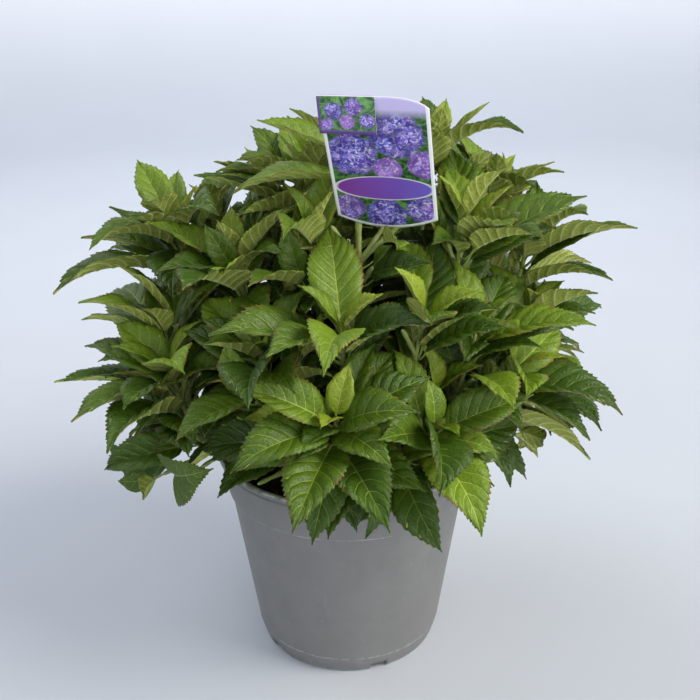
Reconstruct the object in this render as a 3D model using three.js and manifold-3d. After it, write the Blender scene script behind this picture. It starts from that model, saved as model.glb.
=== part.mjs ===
// A bigleaf hydrangea shrub in its nursery pot, for three.js 0.186 and manifold-3d. Millimetres, +Z up.
// The origin is on the pot's axis at floor level. -Y is the front, where the hanging label shows.
// Canes rise from a short woody crown. Each ends in a mass of foliage: a twig with crossed pairs of leaves
// and a few side twigs, grown by one seeded rule.

import * as THREE from 'three';
import { mergeVertices } from 'three/addons/utils/BufferGeometryUtils.js';
import Module from 'manifold-3d';

const wasm = await Module();
wasm.setup();

const GAP = 0.3; // between pieces that meet

// The pot: a tapering wall under a band and a rolled lip, on a foot ring with drainage notches.
const POT_HEIGHT = 192;
const POT_WALL = 1.8;
const LIP_R = 115.5;
const LIP_HEIGHT = 5;
const LIP_GROOVE = 1.6;
const BAND_TOP_R = 113.8;
const BAND_FOOT_R = 107.8;
const BAND_FOOT_Z = 154;
const BAND_STEP = 2.4;
const SHOULDER_R = 85;
const SHOULDER_Z = 16.6;
const FOOT_R = 79.5;
const FOOT_RING = 7.5;
const FOOT_RECESS = 5;
const POT_FLOOR = 3;
const POT_SEGMENTS = 40;
const NOTCHES = 5;
const NOTCH_FIRST = -143; // degrees from +X
const NOTCH_WIDTH = 15;
const NOTCH_HEIGHT = 6;

// The potting mix, a little lower at the wall, and the woody crown that stands on it.
const MIX_TOP = 180;
const MIX_FALL = 3;
const MIX_FLAT_R = 36;
const CROWN_FOOT_R = 22;
const CROWN_R = 17;
const CROWN_TIER = 9.5;
const CROWN_TIERS = 5;
const CROWN_SIDES = 14;

// Canes, from the crown to their masses.
const CANE_FOOT_R = 4;
const CANE_TIP_R = 2.9;
const CANE_SIDES = 5;
const CANE_STEPS = 5;
const CANE_ABOVE_POT = 6;
const CANE_ROOM = 28; // degrees between two canes on one tier

// Twigs and leaves. Pairs of leaves are counted from a twig's tip down, and each crosses the next.
const TWIG_TIP_R = 1.7;
const TWIG_SIDES = 4;
const PAIR_DROP = [0, 10, 30, 62, 98]; // below the tip, mm
const PAIR_SIZE = [0.4, 0.7, 0.96, 0.96, 0.88]; // of the cane's leaf length
const PAIR_RISE = [62, 48, 34, 22, 4]; // degrees above the plane across the twig
const PAIR_DROOP = [14, 24, 28, 30, 32]; // degrees that the blade bends down along its length
const HANG = 20; // degrees more that the blades of a mass droop for each 100 mm that it stands below DOME_Z
const LOW_CANE = 310; // a cane with its tip below this has one pair less
const TWIG_BELOW = 12; // from the last pair down to the mass's foot
const PETIOLE = 0.2; // of the leaf length
const PETIOLE_R = 1.7; // on a leaf 100 mm long
const ROOT_DEPTH = 1.1; // of a petiole, from its twig's axis
const PETIOLE_RISE = 12;
const BLADE_WIDTH = 0.52; // of the leaf length
const BLADE_STATIONS = [0, 0.26, 0.6, 1];
const SMALL_STATIONS = [0, 0.4, 1];
const SMALL_LEAF = 50;
const BLADE_THICKNESS = 0.0125; // of the leaf length
const BLADE_FOLD = 17; // degrees that each half is raised from flat
const SIDE_TWIG = 46;
const SIDE_LEAF = 0.72; // of the cane's leaf length
const SIDE_RISE = 48;
const SIDE_CHANCE = 0.26;
const CLEAR = 0.9; // kept between leaves
const TRIES = 7;
const LIGHT = 0.35; // how far a leaf on a leaning twig turns back up, as a share of the lean

// The crown keeps inside a dome, widest at DOME_Z, with one curve above that and a deeper one below.
const DOME_R = 250;
const DOME_Z = 330;
const DOME_ABOVE = 172;
const DOME_BELOW = 230;
const DOME_POWER = 2.2;
const TOP = 487;
const LOW = 146;

// The label: a card whose strap folds forward over its top as a panel, and behind it narrows to a tongue
// that loops round the twig of one cane.
const CARD_WIDTH = 76;
const CARD_HEIGHT = 110;
const CARD_ARCH = 9;
const CARD_SAG = 10;
const SHEET = 0.8;
const CARD_FOOT = new THREE.Vector3(34, -70, 407);
const CARD_LEAN = 29; // degrees forward from upright
const CARD_TURN = -14;
const PANEL_WIDTH = 40;
const PANEL_LENGTH = 27;
const PANEL_OPEN = 12; // degrees out from the card
const FOLD_R = 1.5;
const STRAP_LENGTH = 24; // behind the fold, before it narrows
const TONGUE_WIDTH = 12;
const LOOP_R = 2.7;
const LOOP_DROP = 46; // from the twig's tip down to the loop's middle

// One row a cane: where the tip of its leading twig stands, how far that leans out from upright, how the
// topmost pair is turned round it from straight out, and the length of its largest leaves.
const CANES = [
  { name: 'front_low', bearing: -93, reach: 150, height: 282, lean: 40, turn: -10, leaf: 98 },
  { name: 'front_centre', bearing: -91, reach: 116, height: 338, lean: 20, turn: 90, leaf: 116 },
  { name: 'front_right', bearing: -64, reach: 148, height: 266, lean: 42, turn: 4, leaf: 98 },
  { name: 'centre_right', bearing: -60, reach: 116, height: 336, lean: 18, turn: 58, leaf: 114 },
  { name: 'centre_left', bearing: -122, reach: 120, height: 314, lean: 20, turn: 70, leaf: 90 },
  { name: 'left_low', bearing: -157, reach: 154, height: 284, lean: 18, turn: 0, leaf: 112 },
  { name: 'left', bearing: -168, reach: 150, height: 302, lean: 10, turn: 90, leaf: 124 },
  { name: 'left_back', bearing: 171, reach: 142, height: 376, lean: 14, turn: 0, leaf: 92 },
  { name: 'left_high', bearing: -158, reach: 92, height: 366, lean: 10, turn: 60, leaf: 106 },
  { name: 'left_top', bearing: 156, reach: 124, height: 380, lean: 16, turn: 20, leaf: 88 },
  { name: 'top_left', bearing: 146, reach: 80, height: 404, lean: 12, turn: 0, leaf: 90 },
  { name: 'top', bearing: 160, reach: 34, height: 424, lean: 6, turn: 40, leaf: 88 },
  { name: 'top_front', bearing: -112, reach: 62, height: 392, lean: 8, turn: 96, leaf: 104 },
  { name: 'top_label', bearing: -78, reach: 58, height: 466, lean: 3, turn: 84, leaf: 72 },
  { name: 'top_right', bearing: 24, reach: 84, height: 446, lean: 10, turn: 60, leaf: 92 },
  { name: 'right_high', bearing: -24, reach: 104, height: 388, lean: 16, turn: 34, leaf: 120 },
  { name: 'right_high_back', bearing: 30, reach: 154, height: 396, lean: 20, turn: 30, leaf: 96 },
  { name: 'right_back', bearing: 10, reach: 160, height: 360, lean: 14, turn: 0, leaf: 118 },
  { name: 'right', bearing: -2, reach: 156, height: 306, lean: 16, turn: 45, leaf: 94 },
  { name: 'right_low', bearing: -26, reach: 146, height: 280, lean: 34, turn: 8, leaf: 106 },
  { name: 'right_front', bearing: -40, reach: 132, height: 326, lean: 16, turn: 60, leaf: 86 },
  { name: 'back_left_low', bearing: 142, reach: 152, height: 286, lean: 32, turn: 20, leaf: 108 },
  { name: 'back_left', bearing: 116, reach: 132, height: 356, lean: 22, turn: 80, leaf: 104 },
  { name: 'back_low', bearing: 96, reach: 144, height: 284, lean: 32, turn: 10, leaf: 106 },
  { name: 'back_high', bearing: 84, reach: 84, height: 414, lean: 14, turn: 10, leaf: 102 },
  { name: 'back_right', bearing: 66, reach: 132, height: 350, lean: 22, turn: 70, leaf: 104 },
  { name: 'back_right_low', bearing: 50, reach: 154, height: 282, lean: 32, turn: 20, leaf: 108 },
];

const COLOURS = {
  pot: 0x7b8083,
  mix: 0x2a201a,
  bark: 0x7a6a4c,
  cane: 0x96a55e,
  foliage: 0x4f7426,
  label: 0x8a78c4,
};

const UP = new THREE.Vector3(0, 0, 1);
const radians = THREE.MathUtils.degToRad;

// The next number from 0 to 1, each time the returned function is called.
function seededRandom(seed) {
  let state = seed;
  return () => {
    state = state * 16807 % 2147483647;
    return state / 2147483647;
  };
}

// A point at a bearing and a distance from the pot's axis.
function around(bearing, distance, z) {
  return new THREE.Vector3(distance * Math.cos(radians(bearing)), distance * Math.sin(radians(bearing)), z);
}

// start + the sum of each vector times its length.
function along(start, ...steps) {
  const point = start.clone();
  for (const [vector, length] of steps) point.addScaledVector(vector, length);
  return point;
}

function solidOf(geometry) {
  const bare = geometry.index ? geometry : geometry.clone();
  bare.deleteAttribute('normal');
  bare.deleteAttribute('uv');
  const merged = mergeVertices(bare, 1e-4);
  const mesh = new wasm.Mesh({
    numProp: 3,
    vertProperties: merged.getAttribute('position').array,
    triVerts: new Uint32Array(merged.getIndex().array),
  });
  return new wasm.Manifold(mesh);
}

function geometryOf(solid) {
  const mesh = solid.getMesh();
  const geometry = new THREE.BufferGeometry();
  geometry.setAttribute('position', new THREE.BufferAttribute(mesh.vertProperties, 3));
  geometry.setIndex(new THREE.BufferAttribute(mesh.triVerts, 1));
  geometry.computeVertexNormals();
  return geometry;
}

// A closed solid through rings of equally many points, each counter-clockwise as seen from ahead.
// With an apex, the last ring closes to that point.
function loft(rings, apex = null) {
  const count = rings[0].length;
  const points = rings.flat();
  const faces = [];
  for (let j = 2; j < count; j++) faces.push(0, j, j - 1);
  for (let i = 0; i + 1 < rings.length; i++) {
    for (let j = 0; j < count; j++) {
      const [a, b] = [i * count + j, i * count + (j + 1) % count];
      faces.push(a, b, b + count, a, b + count, a + count);
    }
  }
  const last = (rings.length - 1) * count;
  if (apex) {
    points.push(apex);
    for (let j = 0; j < count; j++) faces.push(last + j, last + (j + 1) % count, points.length - 1);
  } else {
    for (let j = 2; j < count; j++) faces.push(last, last + j - 1, last + j);
  }
  const geometry = new THREE.BufferGeometry().setFromPoints(points);
  geometry.setIndex(faces);
  return solidOf(geometry);
}

// A round ring across a direction. side fixes where its points start.
function ring(centre, direction, side, radius, sides) {
  const first = new THREE.Vector3().crossVectors(side, direction).normalize();
  const second = new THREE.Vector3().crossVectors(direction, first).normalize();
  return Array.from({ length: sides }, (_, j) => {
    const angle = 2 * Math.PI * j / sides;
    return along(centre, [first, radius * Math.cos(angle)], [second, radius * Math.sin(angle)]);
  });
}

function makePot() {
  const band = (BAND_TOP_R - BAND_FOOT_R) / (POT_HEIGHT - LIP_HEIGHT - BAND_FOOT_Z);
  const taper = (BAND_FOOT_R - BAND_STEP - SHOULDER_R) / (BAND_FOOT_Z - SHOULDER_Z);
  const bandR = z => BAND_FOOT_R + band * (z - BAND_FOOT_Z);
  const wallR = z => SHOULDER_R + taper * (z - SHOULDER_Z);
  const lipFoot = POT_HEIGHT - LIP_HEIGHT;
  const floorTop = FOOT_RECESS + POT_FLOOR;
  const profile = [
    [0, FOOT_RECESS],
    [FOOT_R - FOOT_RING - 4, FOOT_RECESS],
    [FOOT_R - FOOT_RING, 0],
    [FOOT_R, 0],
    [FOOT_R + 1.6, 2],
    [SHOULDER_R - 1, SHOULDER_Z - 5],
    [SHOULDER_R, SHOULDER_Z],
    [wallR(BAND_FOOT_Z), BAND_FOOT_Z],
    [BAND_FOOT_R, BAND_FOOT_Z + 1],
    [bandR(lipFoot - 3), lipFoot - 3],
    [bandR(lipFoot) - LIP_GROOVE, lipFoot - 1.6],
    [bandR(lipFoot) - LIP_GROOVE, lipFoot],
    [LIP_R, lipFoot + 0.8],
    [LIP_R, lipFoot + 3],
    [LIP_R - 1.8, POT_HEIGHT],
    [LIP_R - 4.2, POT_HEIGHT],
    [LIP_R - 5.2, lipFoot + 2],
    [innerR(lipFoot), lipFoot],
    [innerR(BAND_FOOT_Z + 2), BAND_FOOT_Z + 2],
    [innerR(BAND_FOOT_Z - 4), BAND_FOOT_Z - 4],
    [innerR(SHOULDER_Z), SHOULDER_Z],
    [innerR(floorTop), floorTop],
    [0, floorTop],
  ];
  const lathe = new THREE.LatheGeometry(profile.map(([r, z]) => new THREE.Vector2(r, z)), POT_SEGMENTS);
  let pot = solidOf(lathe.rotateX(Math.PI / 2));
  for (let i = 0; i < NOTCHES; i++) {
    const bearing = NOTCH_FIRST + i * 360 / NOTCHES;
    const cutter = new THREE.BoxGeometry(4 * FOOT_RING, NOTCH_WIDTH, 2 * NOTCH_HEIGHT);
    cutter.translate(FOOT_R + 0.5 * FOOT_RING, 0, 0).rotateZ(radians(bearing));
    pot = pot.subtract(solidOf(cutter));
  }
  return pot;
}

// The pot's inner radius at a height.
function innerR(z) {
  const bandTop = POT_HEIGHT - LIP_HEIGHT;
  if (z > BAND_FOOT_Z) {
    return BAND_FOOT_R - POT_WALL + (BAND_TOP_R - BAND_FOOT_R) * (z - BAND_FOOT_Z) / (bandTop - BAND_FOOT_Z);
  }
  const top = BAND_FOOT_R - BAND_STEP - POT_WALL;
  return top - (BAND_FOOT_R - BAND_STEP - SHOULDER_R) * (BAND_FOOT_Z - z) / (BAND_FOOT_Z - SHOULDER_Z);
}

function makeMix() {
  const bottom = FOOT_RECESS + POT_FLOOR + GAP;
  const wallTop = MIX_TOP - MIX_FALL;
  const profile = [
    [0, bottom],
    [innerR(bottom) - GAP, bottom],
    [innerR(SHOULDER_Z) - GAP, SHOULDER_Z],
    [innerR(BAND_FOOT_Z - 4) - GAP, BAND_FOOT_Z - 4],
    [innerR(BAND_FOOT_Z + 2) - GAP, BAND_FOOT_Z + 2.5],
    [innerR(wallTop) - GAP, wallTop],
    [70, wallTop + 1.6],
    [MIX_FLAT_R, MIX_TOP],
    [0, MIX_TOP],
  ];
  const lathe = new THREE.LatheGeometry(profile.map(([r, z]) => new THREE.Vector2(r, z)), POT_SEGMENTS);
  return solidOf(lathe.rotateX(Math.PI / 2));
}

function makeCrown() {
  const foot = MIX_TOP + GAP;
  const top = foot + CROWN_TIER * (CROWN_TIERS + 0.6);
  const profile = [
    [0, foot],
    [CROWN_FOOT_R, foot],
    [CROWN_R, foot + 4],
    [CROWN_R, top - 3],
    [CROWN_R - 4, top],
    [0, top + 1],
  ];
  const lathe = new THREE.LatheGeometry(profile.map(([r, z]) => new THREE.Vector2(r, z)), CROWN_SIDES);
  return solidOf(lathe.rotateX(Math.PI / 2));
}

// Adds to each cane its leading twig: the frame across it (out and side), its tip and its root.
function placeTwig(cane) {
  const [bearing, lean] = [radians(cane.bearing), radians(cane.lean)];
  const out = around(cane.bearing, Math.cos(lean), -Math.sin(lean));
  const side = around(cane.bearing + 90, 1, 0);
  const axis = new THREE.Vector3().crossVectors(out, side);
  const tip = around(cane.bearing, cane.reach, cane.height);
  const pairs = PAIR_DROP.length - (cane.height < LOW_CANE ? 1 : 0);
  const length = PAIR_DROP[pairs - 1] + TWIG_BELOW;
  return { axis, out, side, tip, pairs, lean: cane.lean, root: along(tip, [axis, -length]) };
}

// The lowest tier of the crown where no other cane stands too near, the canes that lean out most first.
function chooseTiers(canes) {
  const tiers = Array.from({ length: CROWN_TIERS }, () => []);
  const slope = cane => (cane.height - MIX_TOP) / cane.reach;
  const order = [...canes].sort((a, b) => slope(a) - slope(b));
  for (const cane of order) {
    const free = tiers.findIndex(tier => tier.every(other => turnBetween(cane.bearing, other.bearing) >= CANE_ROOM));
    cane.tier = free;
    tiers[free].push(cane);
  }
}

function turnBetween(a, b) {
  return Math.abs(THREE.MathUtils.euclideanModulo(a - b + 180, 360) - 180);
}

function makeCane(cane, twig) {
  const foot = around(cane.bearing, CROWN_R + GAP, MIX_TOP + GAP + CROWN_TIER * (cane.tier + 0.9));
  const end = along(twig.root, [twig.axis, -GAP]);
  const outward = around(cane.bearing, 1, 0);
  const back = Math.min(0.4 * end.distanceTo(foot), (end.z - POT_HEIGHT - CANE_ABOVE_POT) / twig.axis.z);
  const curve = new THREE.CubicBezierCurve3(
    foot,
    along(foot, [outward, 10 + 0.16 * cane.reach]),
    along(end, [twig.axis, -back]),
    end,
  );
  const rings = [];
  for (let i = 0; i <= CANE_STEPS; i++) {
    const t = i / CANE_STEPS;
    const radius = THREE.MathUtils.lerp(CANE_FOOT_R, CANE_TIP_R, t);
    rings.push(ring(curve.getPoint(t), curve.getTangent(t), twig.side, radius, CANE_SIDES));
  }
  return loft(rings);
}

function makeTwig(twig) {
  const rings = [0, 1].map(t => {
    const radius = THREE.MathUtils.lerp(CANE_TIP_R, TWIG_TIP_R, t);
    return ring(twig.root.clone().lerp(twig.tip, t), twig.axis, twig.side, radius, TWIG_SIDES);
  });
  return loft(rings, along(twig.tip, [twig.axis, 2 * TWIG_TIP_R]));
}

// Half of a blade's width at s from 0 (foot) to 1 (tip), as a share of its full width.
function halfWidth(s) {
  return 0.5 * Math.sin(Math.PI * s ** 0.8) ** (0.8 + 0.5 * s);
}

// One leaf. pose holds its node on the twig, the direction out of the twig, its length, rise, droop and roll.
// swell widens the solid on every side, to test that it keeps clear.
function leafRings(pose, swell = 0) {
  const { node, out, axis, length } = pose;
  const across = new THREE.Vector3().crossVectors(axis, out);
  const heading = rise => along(new THREE.Vector3(), [out, Math.cos(radians(rise))], [axis, Math.sin(radians(rise))]);
  const petiole = heading(pose.rise + PETIOLE_RISE);
  const bladeFoot = along(node, [petiole, PETIOLE * length]);
  const stalk = [along(node, [petiole, ROOT_DEPTH]), bladeFoot].map(
    centre => ring(centre, petiole, across, PETIOLE_R * length / 100 + swell, 4),
  );

  const blade = [];
  let centre = bladeFoot;
  let before = 0;
  for (const s of length < SMALL_LEAF ? SMALL_STATIONS : BLADE_STATIONS) {
    const rise = pose.rise - pose.droop * s;
    const middle = heading(pose.rise - pose.droop * (s + before) / 2);
    centre = along(centre, [middle, (s - before) * length]);
    before = s;
    const normal = heading(rise + 90);
    const tilt = radians(pose.roll);
    const width = BLADE_WIDTH * length * Math.max(halfWidth(s), 0.03) + swell;
    const thick = BLADE_THICKNESS * length / 2 * (1 - 0.5 * s) + swell;
    const edge = (way, angle) => along(
      centre,
      [across, way * width * Math.cos(angle)],
      [normal, width * Math.sin(angle)],
    );
    const fold = radians(BLADE_FOLD);
    blade.push([
      along(centre, [normal, -thick]),
      edge(1, fold + tilt),
      along(centre, [normal, thick]),
      edge(-1, fold - tilt),
    ]);
  }
  return { stalk, blade, apex: along(centre, [heading(pose.rise - pose.droop), 1 + swell]) };
}

function bladeSolid(pose, swell) {
  const { blade, apex } = leafRings(pose, swell);
  return loft(blade.slice(0, -1), apex);
}

function leafSolid(pose) {
  const { stalk, blade, apex } = leafRings(pose);
  return loft([stalk[0], ...blade.slice(0, -1)], apex);
}

function petioleSolid(pose, swell) {
  return loft(leafRings(pose, swell).stalk);
}

function boxesMeet(a, b) {
  return [0, 1, 2].every(i => a.min[i] <= b.max[i] && b.min[i] <= a.max[i]);
}

// What grows so far: { solid, box, wood, mass }. wood is a limb, twig or petiole, and mass is its cane's name.
const grown = [];

function keep(solid, wood, mass) {
  grown.push({ solid, box: solid.boundingBox(), wood, mass });
}

function crosses(solid, others) {
  const box = solid.boundingBox();
  return others.some(other => boxesMeet(box, other.box) && !solid.intersect(other.solid).isEmpty());
}

function insideDome(points) {
  return points.every(({ x, y, z }) => {
    const share = (z - DOME_Z) / (z > DOME_Z ? DOME_ABOVE : -DOME_BELOW);
    return z <= TOP && z >= LOW && (Math.hypot(x, y) / DOME_R) ** DOME_POWER + share ** DOME_POWER <= 1;
  });
}

// A leaf keeps clear of every blade and limb but its own twig. Each try turns, lifts and shrinks it more.
function growLeaf(mass, twig, pose) {
  for (let n = 0; n < TRIES; n++) {
    const turn = radians(pose.turn + 9 * Math.ceil(n / 2) * (n % 2 ? 1 : -1));
    const tried = {
      ...pose,
      axis: twig.axis,
      out: along(new THREE.Vector3(), [twig.out, Math.cos(turn)], [twig.side, Math.sin(turn)]),
      length: pose.length * (1 - 0.05 * n),
      rise: pose.rise + 4 * n + LIGHT * twig.lean * Math.cos(turn),
    };
    const blade = bladeSolid(tried, CLEAR);
    if (!insideDome(leafRings(tried).blade.flat()) || crosses(blade, grown)) continue;
    const petiole = petioleSolid(tried, CLEAR);
    if (crosses(petiole, grown.filter(other => !other.wood || other.mass !== mass.name))) continue;
    keep(bladeSolid(tried, 0), false, mass.name);
    keep(petioleSolid(tried, 0), true, mass.name);
    mass.solids.push(leafSolid(tried));
    return true;
  }
  return false;
}

// The pair k from the tip of a twig, its leaves drawn a little apart from the rule by the mass's random.
function growPair(mass, twig, k) {
  const { random } = mass;
  const vary = amount => amount * (2 * random() - 1);
  for (const half of [0, 180]) {
    growLeaf(mass, twig, {
      node: along(twig.tip, [twig.axis, -PAIR_DROP[k] * twig.scale]),
      turn: twig.turn + 90 * k + half + vary(9),
      length: twig.leaf * PAIR_SIZE[k] * (1 + vary(0.08)),
      rise: PAIR_RISE[k] + vary(8),
      droop: PAIR_DROOP[k] * (1 + vary(0.35)) + HANG * (DOME_Z - twig.tip.z) / 100,
      roll: vary(12),
    });
  }
}

// A side twig from the axil of a lower pair, with two smaller pairs. It is skipped where it would touch.
function growSideTwig(mass, twig, k, half) {
  const { random } = mass;
  const chance = random();
  const turn = radians(twig.turn + 90 * k + half + 14 * (2 * random() - 1));
  const rise = radians(SIDE_RISE + 10 * (2 * random() - 1));
  if (chance > SIDE_CHANCE) return;
  const out = along(new THREE.Vector3(), [twig.out, Math.cos(turn)], [twig.side, Math.sin(turn)]);
  const axis = along(new THREE.Vector3(), [out, Math.cos(rise)], [twig.axis, Math.sin(rise)]);
  const side = new THREE.Vector3().crossVectors(twig.axis, out);
  const root = along(twig.tip, [twig.axis, 5 - PAIR_DROP[k]]);
  const branch = {
    axis,
    side,
    out: new THREE.Vector3().crossVectors(side, axis),
    root,
    tip: along(root, [axis, SIDE_TWIG]),
    turn: 90,
    leaf: twig.leaf * SIDE_LEAF,
    scale: 0.8,
    lean: 90 - SIDE_RISE,
  };
  const solid = makeSideTwig(branch, CLEAR);
  if (!insideDome([branch.tip]) || crosses(solid, grown.filter(other => !other.wood || other.mass !== mass.name))) return;
  mass.solids.push(makeSideTwig(branch, 0));
  keep(makeSideTwig(branch, 0), true, mass.name);
  for (const pair of [0, 2]) growPair(mass, branch, pair);
}

function makeSideTwig(branch, swell) {
  const rings = [0, 1].map(t => {
    const radius = THREE.MathUtils.lerp(TWIG_TIP_R + 0.4, TWIG_TIP_R - 0.3, t) + swell;
    return ring(branch.root.clone().lerp(branch.tip, t), branch.axis, branch.side, radius, TWIG_SIDES);
  });
  return loft(rings, along(branch.tip, [branch.axis, TWIG_TIP_R + swell]));
}

// A flat strip through points, as wide there as widths say. across is the direction of its width.
function strip(path, widths, across) {
  const curve = path.map((point, i) => {
    const [before, after] = [path[Math.max(i - 1, 0)], path[Math.min(i + 1, path.length - 1)]];
    return new THREE.Vector3().subVectors(after, before).normalize();
  });
  return loft(path.map((point, i) => {
    const normal = new THREE.Vector3().crossVectors(curve[i], across).normalize();
    const corner = (u, v) => along(point, [across, u * widths[i] / 2], [normal, v * SHEET / 2]);
    return [corner(1, 1), corner(-1, 1), corner(-1, -1), corner(1, -1)];
  }));
}

function cardOutline() {
  const [half, top] = [CARD_WIDTH / 2, CARD_HEIGHT + CARD_ARCH];
  const outline = new THREE.Shape();
  outline.moveTo(-half, CARD_SAG);
  outline.quadraticCurveTo(0, -CARD_SAG, half, CARD_SAG);
  outline.lineTo(half, CARD_HEIGHT);
  outline.quadraticCurveTo(0.8 * half, top, 0.2 * half, top);
  outline.lineTo(-half, top);
  return outline;
}

// The card is drawn upright in the plane Y = 0, its foot at the origin, and then set in place. Its strap runs
// from the panel over the fold to the loop round the twig.
function makeLabel(twig) {
  const place = new THREE.Matrix4()
    .makeRotationFromEuler(new THREE.Euler(radians(CARD_LEAN), 0, radians(CARD_TURN), 'ZXY'))
    .setPosition(CARD_FOOT);
  const sheet = { depth: SHEET, bevelEnabled: false, curveSegments: 6 };
  const card = new THREE.ExtrudeGeometry(cardOutline(), sheet).rotateX(Math.PI / 2).applyMatrix4(place);

  const top = CARD_HEIGHT + CARD_ARCH;
  const onCard = (y, z) => new THREE.Vector3((PANEL_WIDTH - CARD_WIDTH) / 2, y, z).applyMatrix4(place);
  const open = radians(PANEL_OPEN);
  const loopCentre = along(twig.tip, [twig.axis, -LOOP_DROP]);
  const loopFront = along(loopCentre, [twig.out, LOOP_R + SHEET / 2]);
  const across = new THREE.Vector3(1, 0, 0).transformDirection(place);
  const fold = onCard(FOLD_R, top - SHEET / 2);
  const down = new THREE.Vector3().subVectors(loopFront, fold).normalize();
  const path = [
    onCard(-FOLD_R - PANEL_LENGTH * Math.sin(open), top - PANEL_LENGTH * Math.cos(open)),
    onCard(-FOLD_R, top - SHEET / 2),
    fold,
    along(fold, [down, STRAP_LENGTH]),
    along(fold, [down, STRAP_LENGTH + 8]),
    loopFront,
  ];
  const widths = [PANEL_WIDTH, PANEL_WIDTH, PANEL_WIDTH, PANEL_WIDTH, TONGUE_WIDTH, 0.5 * TONGUE_WIDTH];

  const loop = new THREE.Shape();
  loop.absarc(0, 0, LOOP_R + SHEET, 0, 2 * Math.PI);
  const hole = new THREE.Path();
  hole.absarc(0, 0, LOOP_R, 0, 2 * Math.PI);
  loop.holes.push(hole);
  const turned = new THREE.Quaternion().setFromUnitVectors(UP, twig.axis);
  const ringAround = new THREE.ExtrudeGeometry(loop, { ...sheet, depth: TONGUE_WIDTH, curveSegments: 10 })
    .translate(0, 0, -TONGUE_WIDTH / 2)
    .applyQuaternion(turned)
    .translate(...loopCentre.toArray());
  return solidOf(card).add(strip(path, widths, across)).add(solidOf(ringAround));
}

const group = new THREE.Group();

function addPiece(name, solid, colour, roughness) {
  const material = new THREE.MeshStandardMaterial({ color: colour, roughness, metalness: 0 });
  const mesh = new THREE.Mesh(geometryOf(solid), material);
  mesh.name = name;
  group.add(mesh);
}

const pot = makePot();
const mix = makeMix();
const crown = makeCrown();
addPiece('pot', pot, COLOURS.pot, 0.55);
addPiece('potting_mix', mix, COLOURS.mix, 1);
addPiece('crown', crown, COLOURS.bark, 0.9);
for (const solid of [pot, mix, crown]) keep(solid, true, null);

chooseTiers(CANES);
const masses = CANES.map((cane, index) => {
  const twig = { ...placeTwig(cane), turn: cane.turn, leaf: cane.leaf, scale: 1 };
  const bough = makeCane(cane, twig);
  addPiece(`cane_${cane.name}`, bough, COLOURS.cane, 0.7);
  keep(bough, true, null);
  const stem = makeTwig(twig);
  keep(stem, true, cane.name);
  return { name: cane.name, twig, random: seededRandom(101 + 37 * index), solids: [stem] };
});

const label = makeLabel(masses.find(mass => mass.name === 'top_label').twig);
addPiece('label', label, COLOURS.label, 0.4);
keep(label, true, null);

for (let k = 0; k < PAIR_DROP.length; k++) {
  for (const mass of masses) {
    if (k < mass.twig.pairs) growPair(mass, mass.twig, k);
  }
}
for (const mass of masses) {
  for (const k of [mass.twig.pairs - 1, mass.twig.pairs - 2]) {
    for (const half of [0, 180]) growSideTwig(mass, mass.twig, k, half);
  }
}
for (const mass of masses) {
  addPiece(`foliage_${mass.name}`, wasm.Manifold.union(mass.solids), COLOURS.foliage, 0.6);
}

export default group;
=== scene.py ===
# A bigleaf hydrangea shrub in its grey nursery pot, in leaf and without flowers, with a picture label hung at its
# front. Sizes are in millimetres and become metres where a mesh is made. Lengths in a material are in metres, and
# the scale of a pattern is how often it repeats to the metre. +Z is up and -Y is the front.

import bmesh
import bpy
import numpy as np
from mathutils import Matrix, Vector
from mathutils.bvhtree import BVHTree


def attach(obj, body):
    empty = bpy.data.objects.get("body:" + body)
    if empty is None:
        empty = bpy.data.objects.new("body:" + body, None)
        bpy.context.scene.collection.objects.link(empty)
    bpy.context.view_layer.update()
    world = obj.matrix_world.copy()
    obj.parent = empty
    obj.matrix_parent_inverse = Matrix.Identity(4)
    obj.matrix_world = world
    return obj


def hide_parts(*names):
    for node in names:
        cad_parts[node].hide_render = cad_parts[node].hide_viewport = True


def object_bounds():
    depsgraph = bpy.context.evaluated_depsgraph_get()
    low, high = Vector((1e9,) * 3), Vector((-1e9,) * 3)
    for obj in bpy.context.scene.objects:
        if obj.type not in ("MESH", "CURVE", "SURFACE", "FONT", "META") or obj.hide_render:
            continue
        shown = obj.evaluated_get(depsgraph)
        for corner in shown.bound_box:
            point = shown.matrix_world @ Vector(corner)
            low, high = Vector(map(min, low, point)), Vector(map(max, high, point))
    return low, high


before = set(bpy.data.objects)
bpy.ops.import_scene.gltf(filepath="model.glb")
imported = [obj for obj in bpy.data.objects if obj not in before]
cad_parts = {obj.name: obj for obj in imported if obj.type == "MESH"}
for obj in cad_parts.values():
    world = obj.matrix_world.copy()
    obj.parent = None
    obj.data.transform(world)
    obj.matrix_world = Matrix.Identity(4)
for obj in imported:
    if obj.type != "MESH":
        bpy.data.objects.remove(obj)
cad_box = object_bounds()

# The pot is injection-moulded polypropylene with much recycled grey in it: a thin tapering wall, a stiff band under
# a rolled lip, and a foot ring with five drainage notches. It left the mould with a satin face that has since been
# scuffed pale along its edges.

POT_HEIGHT = 192
POT_WALL = 1.8
LIP_R = 115.5
LIP_HEIGHT = 5
LIP_GROOVE = 1.6
BAND_TOP_R = 113.8
BAND_FOOT_R = 107.8
BAND_FOOT_Z = 154
BAND_STEP = 2.4
SHOULDER_R = 85
SHOULDER_Z = 16.6
FOOT_R = 79.5
FOOT_RING = 7.5
FOOT_RECESS = 5
POT_FLOOR = 3
CORNER_R = 1.1
NOTCHES = 5
NOTCH_FIRST = -143
NOTCH_WIDTH = 15
NOTCH_HEIGHT = 6
NOTCH_SIDE = 0.06
DARK_PLASTIC = "6c6c6b"
GREY_PLASTIC = "80807f"
SCUFFED_PLASTIC = "b8bcbe"
# The heights at which the pot is scuffed, and how far to each side.
SCUFFED_EDGES = ((BAND_FOOT_Z, 1.6), (SHOULDER_Z, 1.8), (POT_HEIGHT - 1, 1.8), (1, 2.5))


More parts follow.
